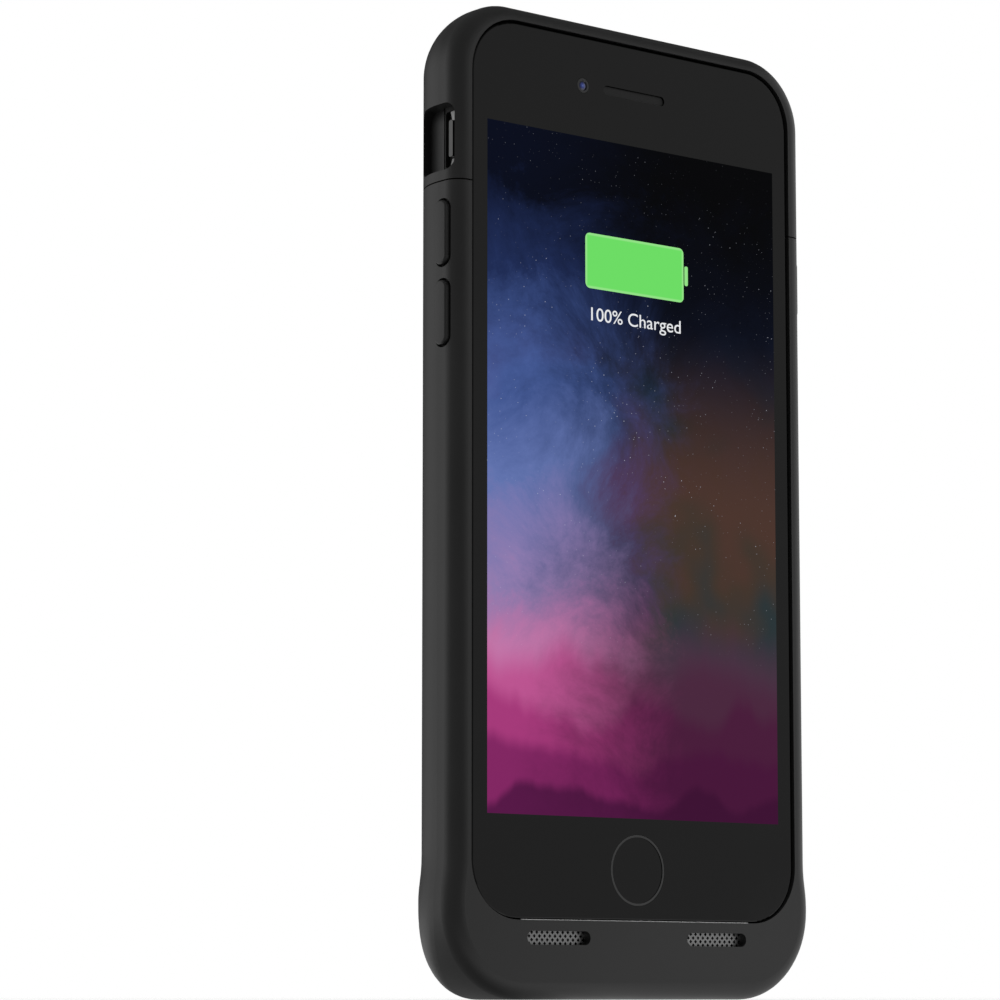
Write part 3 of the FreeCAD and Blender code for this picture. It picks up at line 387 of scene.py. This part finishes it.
def cover_glass():
    """Black-backed front glass with faint hand marks."""
    material, tree, shader, place = new_finish("front_glass_black", specular=GLASS_SPECULAR)
    marks = use_group(tree, SMUDGES, {"Marks": 38.0}, {"Place": place}).outputs["Mask"]
    feed(tree, shader, "Base Color", blend_colours(tree, marks, tone(9), tone(12)))
    feed(tree, shader, "Roughness", spread(tree, marks, 0.0, 1.0, 0.05, 0.16))
    return material


SCREEN_GLOW = 0.95
SCREEN_SPECULAR = 0.03

# Ridges from far to near: level, swing, waves across, offset, blur, and the colours in light and in shade
RIDGES = [
    (0.31, 0.16, 3.0, 2.3, 0.10, tone(200, 122, 174), tone(52, 40, 52)),
    (0.25, 0.20, 2.2, 9.1, 0.06, tone(192, 86, 148), tone(58, 34, 52)),
    (0.18, 0.17, 2.8, 15.7, 0.04, tone(168, 58, 124), tone(62, 24, 52)),
    (0.11, 0.14, 2.4, 21.4, 0.03, tone(132, 38, 100), tone(66, 18, 54)),
    (0.04, 0.10, 3.4, 33.8, 0.02, tone(88, 22, 72), tone(60, 14, 50)),
]


def ridge_screen():
    """Lit screen: a starry dusk sky over layered ridges, bright on one side and dark on the other."""
    material, tree, shader, place = new_finish("lit_screen", roughness=0.06, specular=SCREEN_SPECULAR)
    low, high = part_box("phone_display")
    axes = put(tree, "ShaderNodeSeparateXYZ", links={"Vector": place}).outputs
    across = spread(tree, axes["X"], low.x, high.x, 0.0, 1.0)
    up = spread(tree, axes["Z"], low.z, high.z, 0.0, 1.0)
    haze = put(tree, "ShaderNodeTexNoise",
               {"Scale": 48.0, "Detail": 9.0, "Roughness": 0.72, "Distortion": 0.5},
               {"Vector": place}).outputs[0]
    drift = calc(tree, "MULTIPLY_ADD", calc(tree, "SUBTRACT", haze, 0.5), 0.34, up)
    sky = ramp(tree, drift, (0.20, tone(196, 112, 162)), (0.36, tone(146, 126, 178)),
               (0.50, tone(100, 118, 178)), (0.64, tone(68, 90, 150)), (0.79, tone(30, 44, 86)),
               (0.95, tone(4, 9, 28)))
    shade = spread(tree, calc(tree, "MULTIPLY_ADD", haze, 0.6, across), 0.36, 0.98, 1.0, 0.06, True)
    picture = blend_colours(tree, 1.0, sky, shade, "MULTIPLY")
    cloud = put(tree, "ShaderNodeTexNoise", {"Scale": 30.0, "Detail": 3.0}, {"Vector": place}).outputs[0]
    glimmer = blend_colours(tree, spread(tree, cloud, 0.40, 0.60, 0.0, 1.0, True),
                            tone(22, 58, 64), tone(84, 58, 34))
    picture = blend_colours(tree, spread(tree, up, 0.75, 0.45, 0.0, 0.8, True), picture,
                            blend_colours(tree, 1.0, picture, glimmer, "LIGHTEN"))
    picture = blend_colours(tree, add_stars(tree, axes, up), picture, tone(236, 240, 255))
    for level, swing, waves, offset, blur, lit, dim in RIDGES:
        shape = {"Level": level, "Swing": swing, "Waves": waves, "Offset": offset, "Blur": blur}
        line = use_group(tree, RIDGE, shape, {"Across": across, "Up": up})
        colour = blend_colours(tree, shade, dim, lit)
        picture = blend_colours(tree, line.outputs["Mask"], picture, colour)
    feed(tree, shader, "Emission Color", picture)
    shader.inputs["Emission Strength"].default_value = SCREEN_GLOW
    shader.inputs["Base Color"].default_value = tone(6)
    return material


STAR_SPACING = 0.75 * MM
STAR_TURN = 0.5


def add_stars(tree, axes, up):
    """Mask of small specks of uneven brightness, in drifts that thin out towards the ridges and the top."""
    flat = put(tree, "ShaderNodeCombineXYZ", links={"X": axes["X"], "Y": axes["Z"]})
    field = put(tree, "ShaderNodeMapping", {"Rotation": (0.0, 0.0, STAR_TURN)}, {"Vector": flat.outputs[0]})
    cells = put(tree, "ShaderNodeTexVoronoi", {"Scale": 1 / STAR_SPACING}, {"Vector": field.outputs[0]},
                voronoi_dimensions="2D")
    drifts = put(tree, "ShaderNodeTexNoise", {"Scale": 75.0, "Detail": 3.0}, {"Vector": flat.outputs[0]})
    share = put(tree, "ShaderNodeSeparateColor", links={"Color": cells.outputs["Color"]}).outputs["Red"]
    size = spread(tree, calc(tree, "POWER", share, 8.0), 0.0, 1.0, 0.02, 0.15)
    speck = spread(tree, cells.outputs["Distance"], 0.0, size, 1.0, 0.0, True)
    bright = calc(tree, "MULTIPLY", spread(tree, up, 0.2, 0.5, 0.35, 0.85),
                  spread(tree, up, 0.95, 0.7, 0.25, 1.0))
    bright = calc(tree, "MULTIPLY", bright, spread(tree, drifts.outputs[0], 0.42, 0.62, 0.15, 1.0, True))
    strength = calc(tree, "MULTIPLY", calc(tree, "POWER", share, 4.0), bright)
    return calc(tree, "MULTIPLY", speck, strength)


# Radii of the paler ring at the home button's edge, a painted highlight on the rim
HOME_GLINT_RING = (4.98 * MM, 5.04 * MM)


def home_glass():
    """Dished home button, black like the glass, with a thin paler ring at its edge: the rim is real, and its
    paler tone is a painted highlight of its glint.
    """
    material, tree, shader, place = new_finish("home_button_black", specular=GLASS_SPECULAR)
    radius = rings_round(tree, place, "phone_home_button", 0.08 * MM)["Radius"]
    # Mask of the painted rim highlight
    rim = spread(tree, radius, *HOME_GLINT_RING, 0.0, 1.0, True)
    feed(tree, shader, "Base Color", blend_colours(tree, rim, tone(9), tone(56)))
    feed(tree, shader, "Roughness", spread(tree, rim, 0.0, 1.0, 0.06, 0.32))
    return material


def earpiece_mesh():
    """Fine woven mesh in the earpiece slot."""
    material, tree, shader, place = new_finish("earpiece_mesh", roughness=0.6, specular=0.2)
    cells = put(tree, "ShaderNodeTexVoronoi", {"Scale": 4200.0, "Randomness": 0.0}, {"Vector": place})
    wires = spread(tree, cells.outputs["Distance"], 0.28, 0.42, 0.0, 1.0, True)
    feed(tree, shader, "Base Color", blend_colours(tree, wires, tone(6), tone(40)))
    add_bump(tree, shader, wires, 0.03 * MM)
    return material


def lens_finish(name, node, stops, reach):
    """Lens and barrel, coloured by radius under a clear hard coat."""
    material, tree, shader, place = new_finish(name, roughness=0.12)
    radius = rings_round(tree, place, node, 0.12 * MM)["Radius"]
    share = spread(tree, radius, 0.0, reach, 0.0, 1.0)
    feed(tree, shader, "Base Color", ramp(tree, share, *stops))
    feed(tree, shader, "Roughness", spread(tree, share, 0.40, 0.46, 0.05, 0.30))
    shader.inputs["Coat Weight"].default_value = 0.6
    return material


def rear_lens():
    stops = [(0.0, tone(10, 12, 30)), (0.16, tone(34, 40, 96)), (0.30, tone(22, 20, 52)),
             (0.41, tone(8)), (0.45, tone(56)), (0.48, tone(14)), (0.62, tone(24)), (0.66, tone(10)),
             (0.84, tone(18)), (0.9, tone(30))]
    return lens_finish("rear_lens_coated", "phone_camera_lens", stops, 3.5 * MM)


def front_lens():
    # Blue coating from the rim inwards; the pale centre is a painted highlight, a glint on the lens
    stops = [(0.0, tone(120, 140, 200)), (0.12, tone(44, 66, 150)), (0.45, tone(18, 28, 82)),
             (0.60, tone(8, 10, 24)), (0.78, tone(12, 13, 18)), (1.0, tone(9))]
    return lens_finish("front_lens_coated_glint", "phone_front_camera", stops, 1.15 * MM)


def flash_lens():
    """Amber flash window with moulded rings over a paler and a warmer lamp."""
    material, tree, shader, place = new_finish("flash_amber", roughness=0.22)
    rings = rings_round(tree, place, "phone_flash", 0.3 * MM)
    side = put(tree, "ShaderNodeSeparateXYZ", links={"Vector": place}).outputs["X"]
    middle = box_middle("phone_flash").x
    half = spread(tree, side, middle - 0.8 * MM, middle + 0.8 * MM, 0.0, 1.0, True)
    lamps = blend_colours(tree, half, tone(196, 186, 128), tone(206, 152, 88))
    edge = spread(tree, rings["Radius"], 1.5 * MM, 1.95 * MM, 0.0, 1.0, True)
    feed(tree, shader, "Base Color", blend_colours(tree, edge, lamps, tone(120, 96, 60)))
    feed(tree, shader, "Roughness", spread(tree, rings["Wave"], 0.0, 1.0, 0.16, 0.34))
    shader.inputs["Coat Weight"].default_value = 0.5
    return material


def key_metal():
    return bright_metal("phone_key_dark", 44, 62, 0.34, 0.46, (3000.0, 3000.0, 500.0))


def mute_metal():
    return bright_metal("mute_lever_grey", 84, 110, 0.30, 0.42, (3000.0, 3000.0, 500.0))


# Pale metal of the ramps at the mute well's ends: a painted highlight, brighter than the black phone metal
def trim_glint_metal():
    return bright_metal("mute_trim_pale_glint", 120, 150, 0.34, 0.46, (3000.0, 3000.0, 500.0), 0.4)


# Near-white tone of the strip at the glass foot: a painted highlight, not a part's own colour
def glint_strip_pale():
    return moulded("glass_foot_glint_pale", 206, 228, 0.34, 0.44, 5200.0, 0.004 * MM, 0.50)


SIGN_LENGTH = 20.1 * MM
SIGN_HEIGHT = 8.6 * MM
SIGN_CORNER = 0.9 * MM
SIGN_MIDDLE = Vector((0.0, 0.0, 112.15 * MM))
SIGN_BORDER = 0.4 * MM


def sign_green():
    """Charge sign on the screen, green with a paler border."""
    material, tree, shader, place = new_finish("charge_sign_green", roughness=0.06, specular=SCREEN_SPECULAR)
    axes = put(tree, "ShaderNodeSeparateXYZ", links={"Vector": place}).outputs
    across = calc(tree, "ABSOLUTE", calc(tree, "SUBTRACT", axes["X"], SIGN_MIDDLE.x))
    up = calc(tree, "ABSOLUTE", calc(tree, "SUBTRACT", axes["Z"], SIGN_MIDDLE.z))
    edge = calc(tree, "MAXIMUM", calc(tree, "SUBTRACT", across, SIGN_LENGTH / 2),
                calc(tree, "SUBTRACT", up, SIGN_HEIGHT / 2))
    border = spread(tree, edge, -1.2 * SIGN_BORDER, -0.6 * SIGN_BORDER, 0.0, 1.0, True)
    green = blend_colours(tree, border, tone(108, 220, 100), tone(146, 226, 134))
    feed(tree, shader, "Emission Color", green)
    shader.inputs["Emission Strength"].default_value = 1.0
    shader.inputs["Base Color"].default_value = tone(6)
    return material


def figure_white():
    """Pale figures on the screen."""
    material, tree, shader, place = new_finish("figure_white", roughness=0.06, specular=SCREEN_SPECULAR)
    cloud = put(tree, "ShaderNodeTexNoise", {"Scale": 800.0}, {"Vector": place})
    pale = blend_colours(tree, cloud.outputs[0], tone(236, 240, 246), tone(250))
    feed(tree, shader, "Emission Color", pale)
    shader.inputs["Emission Strength"].default_value = 0.9
    shader.inputs["Base Color"].default_value = tone(6)
    return material


FINISHES = {
    "case_soft": soft_touch, "case_bezel": satin_bezel, "case_button": rubber_cover, "tray": tray_plastic,
    "cell_wrap": cell_wrap, "ferrite": ferrite, "copper": coil_copper, "magnet": magnet_plate,
    "board": board_mask, "socket_steel": socket_steel, "plug": plug_black, "switch": switch_steel,
    "lamp": lamp_phosphor, "light_pipe": light_pipe, "speaker_mesh": mesh_metal,
    "phone_shell": phone_metal, "phone_glass": cover_glass, "display": ridge_screen,
    "home_button": home_glass, "earpiece": earpiece_mesh, "front_camera": front_lens,
    "camera_ring": ring_metal, "camera_lens": rear_lens, "flash": flash_lens, "phone_key": key_metal,
    "mute_lever": mute_metal,
}


def dress_parts():
    """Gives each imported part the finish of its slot."""
    finishes = {slot: make() for slot, make in FINISHES.items()}
    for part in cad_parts.values():
        for place in part.material_slots:
            place.material = finishes[place.material.name]
    return finishes


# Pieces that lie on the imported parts

def add_piece(name, mesh, material, body=CASE):
    """Finished piece in its place, riding on a body."""
    mesh.materials.clear()
    mesh.materials.append(material)
    piece = bpy.data.objects.new(name, mesh)
    scene.collection.objects.link(piece)
    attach(piece, body)
    return piece


SHARP_ANGLE = math.radians(32)


def as_mesh(name, shape, smooth=True):
    """Mesh from a bmesh, with outward faces and its sharp edges kept."""
    bmesh.ops.remove_doubles(shape, verts=shape.verts, dist=0.002 * MM)
    bmesh.ops.recalc_face_normals(shape, faces=shape.faces)
    mesh = bpy.data.meshes.new(name)
    shape.to_mesh(mesh)
    shape.free()
    if smooth:
        mesh.polygons.foreach_set("use_smooth", [True] * len(mesh.polygons))
        mesh.set_sharp_from_angle(angle=SHARP_ANGLE)
    return mesh


SPIN_STEPS = 72


def turned(name, centre, facing, profile):
    """Solid turned round an axis along Y. The profile gives (radius, height) in millimetres, from the
    middle of the back, out over the rim and in to the middle of the face."""
    shape = bmesh.new()
    points = [shape.verts.new((r * MM, facing * y * MM, 0.0)) for r, y in profile]
    edges = [shape.edges.new(pair) for pair in zip(points, points[1:])]
    bmesh.ops.spin(shape, geom=points + edges, cent=(0, 0, 0), axis=(0, 1, 0), angle=FULL_TURN,
                   steps=SPIN_STEPS, use_merge=True)
    bmesh.ops.translate(shape, verts=shape.verts, vec=centre)
    return as_mesh(name, shape)


def rear_lens_stack(material):
    """Stepped barrel and domed glass that stand for the camera's plain lens."""
    low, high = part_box("phone_camera_lens")
    rim, face = (high.x - low.x) / 2 / MM, (high.y - low.y) / MM
    barrel = [(0, 0), (rim, 0), (rim, face - 0.04), (rim - 0.04, face), (3.05, face), (2.88, 0.58),
              (2.30, 0.56), (2.14, 0.42), (1.62, 0.40), (1.50, 0.26)]
    dome = [(1.30, 0.31), (0.98, 0.39), (0.62, 0.45), (0.30, 0.475), (0, 0.48)]
    centre = Vector(((low.x + high.x) / 2, low.y, (low.z + high.z) / 2))
    mesh = turned("rear_lens_stack", centre, 1, barrel + dome)
    piece = add_piece("rear_lens_stack", mesh, material)
    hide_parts("phone_camera_lens")


def front_lens_eye(material):
    """Small sunk lens behind the front glass."""
    low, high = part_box("phone_front_camera")
    rim, face = (high.x - low.x) / 2 / MM, (high.y - low.y) / MM
    profile = [(0, 0), (rim, 0), (rim, face), (0.80, face), (0.70, face - 0.16), (0.54, face - 0.12),
               (0.36, face - 0.08), (0.18, face - 0.055), (0, face - 0.05)]
    centre = Vector(((low.x + high.x) / 2, high.y, (low.z + high.z) / 2))
    mesh = turned("front_lens_eye", centre, -1, profile)
    piece = add_piece("front_lens_eye", mesh, material)
    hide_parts("phone_front_camera")


# Rings on the flash window, their depth and the plain border round them, in millimetres
FLASH_RINGS = 6
FLASH_RELIEF = 0.05
FLASH_BORDER = 0.15


def flash_window(material):
    """Flash window with moulded rings on its face."""
    low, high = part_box("phone_flash")
    rim, face = (high.x - low.x) / 2 / MM, (high.y - low.y) / MM
    step = (rim - FLASH_BORDER) / (2 * FLASH_RINGS)
    profile = [(0, 0), (rim, 0), (rim, face)]
    for index in range(2 * FLASH_RINGS):
        profile.append((rim - FLASH_BORDER - index * step, face - FLASH_RELIEF * (index % 2)))
    profile.append((0, face))
    centre = Vector(((low.x + high.x) / 2, low.y, (low.z + high.z) / 2))
    piece = add_piece("flash_window", turned("flash_window", centre, 1, profile), material)
    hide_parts("phone_flash")


TRIM_LENGTH = 1.45 * MM
TRIM_SINK = 0.35 * MM
TRIM_GAP = 0.1 * MM
TRIM_SOFT = 0.06 * MM


def mute_trims(material):
    """Bright ramps at the two ends of the well that the mute lever slides in; their pale metal is a painted
    highlight standing for the glint on these ends.
    """
    low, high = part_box("mute_switch")
    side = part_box("phone_housing")[0].x
    front, rear = low.y + TRIM_GAP, high.y + 2 * TRIM_GAP
    for name, foot, way in (("mute_trim_top", high.z, 1), ("mute_trim_foot", low.z, -1)):
        near, end = foot + way * TRIM_GAP, foot + way * TRIM_LENGTH
        shape = bmesh.new()
        outline = ((side, end), (high.x, end), (high.x, near), (side + TRIM_SINK, near))
        face = shape.faces.new([shape.verts.new((x, front, z)) for x, z in outline])
        walls = bmesh.ops.extrude_face_region(shape, geom=[face])["geom"]
        pushed = [item for item in walls if isinstance(item, bmesh.types.BMVert)]
        bmesh.ops.translate(shape, verts=pushed, vec=(0.0, rear - front, 0.0))
        bmesh.ops.bevel(shape, geom=shape.edges[:], offset=TRIM_SOFT, segments=2, profile=0.5,
                        affect="EDGES", material=-1)
        add_piece(name, as_mesh(name, shape), material)


# Size and place of the pale strip at the glass foot, a painted highlight line
GLINT_STRIP_SINK = 0.06 * MM
GLINT_STRIP_DEPTH = 0.4 * MM
GLINT_STRIP_HEIGHT = 0.09 * MM
GLINT_STRIP_CORNER = 9.4 * MM


def glass_foot_glint(material):
    """Thin pale strip along the straight foot of the glass: a painted highlight for the light line at the
    glass's lower edge.
    """
    low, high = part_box("phone_glass")
    middle = Vector(((low.x + high.x) / 2, low.y + GLINT_STRIP_SINK + GLINT_STRIP_DEPTH / 2, low.z - GLINT_STRIP_HEIGHT / 2))
    shape = bmesh.new()
    bmesh.ops.create_cube(shape, size=1.0)
    length = high.x - low.x - 2 * GLINT_STRIP_CORNER
    bmesh.ops.scale(shape, verts=shape.verts, vec=(length, GLINT_STRIP_DEPTH, GLINT_STRIP_HEIGHT))
    bmesh.ops.bevel(shape, geom=shape.edges[:], offset=0.2 * GLINT_STRIP_HEIGHT, segments=2, profile=0.5,
                    affect="EDGES", material=-1)
    bmesh.ops.translate(shape, verts=shape.verts, vec=middle)
    add_piece("glass_foot_glint", as_mesh("glass_foot_glint", shape), material)


NUB_LENGTH = 0.7 * MM
NUB_HEIGHT = 3.1 * MM
NUB_GAP = 0.2 * MM
SIGN_LIFT = 0.02 * MM
FIGURE_WIDTH = 18.3 * MM
FIGURE_HEIGHT = 2.05 * MM
FIGURE_Z = 102.9 * MM


def upright_plate(shape, length, height, middle, corner):
    """Adds a thin rounded plate that stands in the XZ plane, its face towards -Y."""
    added = bmesh.ops.create_grid(shape, x_segments=1, y_segments=1, size=0.5)["verts"]
    bmesh.ops.scale(shape, verts=added, vec=(length, height, 1.0))
    bmesh.ops.bevel(shape, geom=added, offset=corner, segments=8, profile=0.5, affect="VERTICES", material=-1)
    face = max(shape.faces, key=lambda item: item.index)
    corners = list(face.verts)
    bmesh.ops.rotate(shape, verts=corners, cent=(0, 0, 0), matrix=Matrix.Rotation(math.pi / 2, 3, "X"))
    bmesh.ops.translate(shape, verts=corners, vec=middle)
    walls = bmesh.ops.extrude_face_region(shape, geom=[face])["geom"]
    lifted = [item for item in walls if isinstance(item, bmesh.types.BMVert)]
    bmesh.ops.translate(shape, verts=lifted, vec=(0.0, -SIGN_LIFT, 0.0))


def charge_sign(material):
    """Full battery sign: a rounded block with a nub, flat on the screen."""
    screen_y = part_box("phone_display")[0].y
    middle = SIGN_MIDDLE + Vector((0.0, screen_y, 0.0))
    nub_x = (SIGN_LENGTH + NUB_LENGTH) / 2 + NUB_GAP
    plates = [
        ("charge_sign", SIGN_LENGTH, SIGN_HEIGHT, middle, SIGN_CORNER),
        ("charge_sign_nub", NUB_LENGTH, NUB_HEIGHT, middle + Vector((nub_x, 0.0, 0.0)), 0.4 * NUB_LENGTH),
    ]
    for name, length, height, place, corner in plates:
        shape = bmesh.new()
        upright_plate(shape, length, height, place, corner)
        add_piece(name, as_mesh(name, shape, smooth=False), material)


# Height of a capital in the font, as a share of the font size
CAPITAL = 0.7


def charge_figure(material):
    """Plain words and figures under the sign."""
    curve = bpy.data.curves.new("charge_figure", "FONT")
    curve.body = "100% Charged"
    curve.align_x = "CENTER"
    text = bpy.data.objects.new("charge_figure_text", curve)
    scene.collection.objects.link(text)
    mesh = bpy.data.meshes.new_from_object(text.evaluated_get(bpy.context.evaluated_depsgraph_get()))
    bpy.data.objects.remove(text)
    bpy.data.curves.remove(curve)
    across = [vertex.co.x for vertex in mesh.vertices]
    span = max(across) - min(across)
    mesh.transform(Matrix.Diagonal((FIGURE_WIDTH / span, FIGURE_HEIGHT / CAPITAL, 1.0, 1.0)))
    mesh.transform(Matrix.Rotation(math.pi / 2, 4, "X"))
    screen_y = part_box("phone_display")[0].y
    mesh.transform(Matrix.Translation((SIGN_MIDDLE.x, screen_y - SIGN_LIFT, FIGURE_Z)))
    shape = bmesh.new()
    shape.from_mesh(mesh)
    faces = bmesh.ops.extrude_face_region(shape, geom=shape.faces[:])["geom"]
    sunk = [item for item in faces if isinstance(item, bmesh.types.BMVert)]
    bmesh.ops.translate(shape, verts=sunk, vec=(0.0, SIGN_LIFT, 0.0))
    add_piece("charge_figure", as_mesh("charge_figure", shape, smooth=False), material)


# Studio

FLOOR_SIZE = 6.0
FLOOR_DROP = 0.02 * MM
FLOOR_GLOW = 0.6

# Brightness in reflections of the walls, of the floor and of the floor close to the foot, against the
# turn, in degrees from the front over the right to the rear and the left
WALLS = [(0, 0.16), (10, 0.18), (24, 0.34), (34, 0.43), (48, 0.43), (65, 0.95), (110, 0.9), (128, 0.15),
         (141, 0.04), (165, 0.06), (180, 0.22), (195, 0.62), (210, 0.90), (228, 0.86), (242, 0.62),
         (252, 0.35), (265, 0.2), (360, 0.16)]
FLOOR = [(0, 0.2), (15, 0.5), (30, 0.95), (60, 1.0), (110, 0.9), (135, 0.3), (150, 0.2), (180, 0.6),
         (205, 1.0), (235, 0.9), (250, 0.4), (262, 0.2), (360, 0.2)]
NEAR_FLOOR = [(0, 0.9), (90, 0.8), (240, 0.8), (258, 0.3), (284, 0.2), (296, 0.7), (320, 0.9), (360, 0.9)]
CEILING = 0.10

# Distances from the middle between which the near floor gives way to the rest, and the floor turns white
NEAR_REACH = (0.030, 0.060)
WHITE_REACH = (0.12, 0.60)


def levels_round(tree, axes, levels):
    """Grey level of a direction or a place, from its turn round the object."""
    turn = calc(tree, "ARCTAN2", calc(tree, "MULTIPLY", axes["X"], -1.0), axes["Y"])
    share = spread(tree, turn, -math.pi, math.pi, 0.0, 1.0)
    return ramp(tree, share, *[(angle / 360, (level, level, level, 1.0)) for angle, level in levels])


def lay_floor():
    """Pale floor that keeps the shadow of the object, whiter with distance and clear from below."""
    shape = bmesh.new()
    bmesh.ops.create_grid(shape, x_segments=1, y_segments=1, size=FLOOR_SIZE / 2)
    bmesh.ops.translate(shape, verts=shape.verts, vec=(0.0, 0.0, -FLOOR_DROP))
    mesh = bpy.data.meshes.new("studio_floor")
    shape.to_mesh(mesh)
    shape.free()
    floor = bpy.data.objects.new("studio_floor", mesh)
    floor.visible_diffuse = False
    scene.collection.objects.link(floor)
    material = bpy.data.materials.new("studio_floor_white")
    material.use_nodes = True
    tree = material.node_tree
    tree.nodes.clear()
    path = put(tree, "ShaderNodeLightPath").outputs
    seen = calc(tree, "MAXIMUM", path["Is Camera Ray"], path["Is Transmission Ray"])
    place = object_place(tree)
    reach = put(tree, "ShaderNodeVectorMath", links={0: place}, operation="LENGTH").outputs["Value"]
    white = calc(tree, "MULTIPLY", seen, spread(tree, reach, *WHITE_REACH, FLOOR_GLOW, 1.0, True))
    share = calc(tree, "MAXIMUM", white, path["Is Glossy Ray"])
    axes = put(tree, "ShaderNodeSeparateXYZ", links={"Vector": place}).outputs
    shine = blend_colours(tree, spread(tree, reach, *NEAR_REACH, 0.0, 1.0, True),
                          levels_round(tree, axes, NEAR_FLOOR), levels_round(tree, axes, FLOOR))
    colour = blend_colours(tree, path["Is Glossy Ray"], tone(255), shine)
    matte = put(tree, "ShaderNodeBsdfDiffuse", {"Color": tone(240)})
    glow = put(tree, "ShaderNodeEmission", {"Strength": 1.0}, {"Color": colour})
    above = put(tree, "ShaderNodeMixShader", links={0: share, 1: matte.outputs[0], 2: glow.outputs[0]})
    clear = put(tree, "ShaderNodeBsdfTransparent")
    below = put(tree, "ShaderNodeNewGeometry").outputs["Backfacing"]
    both = put(tree, "ShaderNodeMixShader", links={0: below, 1: above.outputs[0], 2: clear.outputs[0]})
    put(tree, "ShaderNodeOutputMaterial", links={"Surface": both.outputs[0]})
    floor.data.materials.append(material)


AMBIENT = 0.42


def set_world():
    """White background, a soft even light, and studio walls that show only in reflections."""
    world = bpy.data.worlds.new("studio")
    scene.world = world
    world.use_nodes = True
    tree = world.node_tree
    tree.nodes.clear()
    path = put(tree, "ShaderNodeLightPath").outputs
    seen = calc(tree, "MAXIMUM", path["Is Camera Ray"], path["Is Transmission Ray"])
    white = put(tree, "ShaderNodeBackground", {"Color": tone(255), "Strength": 1.0})
    walls = put(tree, "ShaderNodeBackground", {"Strength": 1.0}, {"Color": studio_walls(tree)})
    soft = put(tree, "ShaderNodeBackground", {"Color": tone(255), "Strength": AMBIENT})
    lit = put(tree, "ShaderNodeMixShader",
              links={0: path["Is Glossy Ray"], 1: soft.outputs[0], 2: walls.outputs[0]})
    both = put(tree, "ShaderNodeMixShader", links={0: seen, 1: lit.outputs[0], 2: white.outputs[0]})
    put(tree, "ShaderNodeOutputWorld", links={"Surface": both.outputs[0]})


def studio_walls(tree):
    """What shines back from the surfaces: walls bright behind and to the right, dark round the camera."""
    way = put(tree, "ShaderNodeTexCoord").outputs["Generated"]
    axes = put(tree, "ShaderNodeSeparateXYZ", links={"Vector": way}).outputs
    height = spread(tree, axes["Z"], 0.35, 0.65, 0.0, 1.0, True)
    return blend_colours(tree, height, levels_round(tree, axes, WALLS), (CEILING, CEILING, CEILING, 1.0))


def add_lamp(name, place, aim, width, height, power):
    """Soft box that points at a spot. The walls stand for it in reflections."""
    light = bpy.data.lights.new(name, "AREA")
    light.shape = "RECTANGLE"
    light.size = width
    light.size_y = height
    light.energy = power
    lamp = bpy.data.objects.new(name, light)
    lamp.location = place
    lamp.rotation_euler = (Vector(aim) - Vector(place)).to_track_quat("-Z", "Y").to_euler()
    lamp.visible_glossy = False
    scene.collection.objects.link(lamp)


MIDDLE = (0.0, 0.0, 0.075)


def set_lamps():
    add_lamp("left_soft_box", (-0.85, 0.25, 0.45), MIDDLE, 0.5, 0.9, 5.0)
    add_lamp("front_soft_box", (0.20, -1.00, 0.75), MIDDLE, 0.7, 0.5, 4.0)
    add_lamp("rear_soft_box", (0.55, 0.95, 0.55), MIDDLE, 0.6, 0.8, 4.0)
    add_lamp("top_soft_box", (0.0, 0.0, 1.10), MIDDLE, 0.8, 0.8, 3.0)


CAMERA_PLACE = Vector((-362.4, -420.9, 0.8)) * MM
CAMERA_YAW = math.radians(39.037)
CAMERA_PITCH = math.radians(6.996)
CAMERA_LENS = 130.36
CAMERA_SHIFT = 0.05


def set_camera():
    """Low camera to the left of the front, with a long lens, looking a little upwards."""
    data = bpy.data.cameras.new("camera")
    data.lens = CAMERA_LENS
    data.shift_y = CAMERA_SHIFT
    data.clip_start = 0.01
    camera = bpy.data.objects.new("camera", data)
    camera.location = CAMERA_PLACE
    camera.rotation_euler = (math.pi / 2 + CAMERA_PITCH, 0.0, -CAMERA_YAW)
    scene.collection.objects.link(camera)
    scene.camera = camera


finishes = dress_parts()
rear_lens_stack(finishes["camera_lens"])
front_lens_eye(finishes["front_camera"])
flash_window(finishes["flash"])
mute_trims(trim_glint_metal())
glass_foot_glint(glint_strip_pale())
charge_sign(sign_green())
charge_figure(figure_white())
lay_floor()
set_world()
set_lamps()
set_camera()
scene.view_settings.view_transform = "Standard"
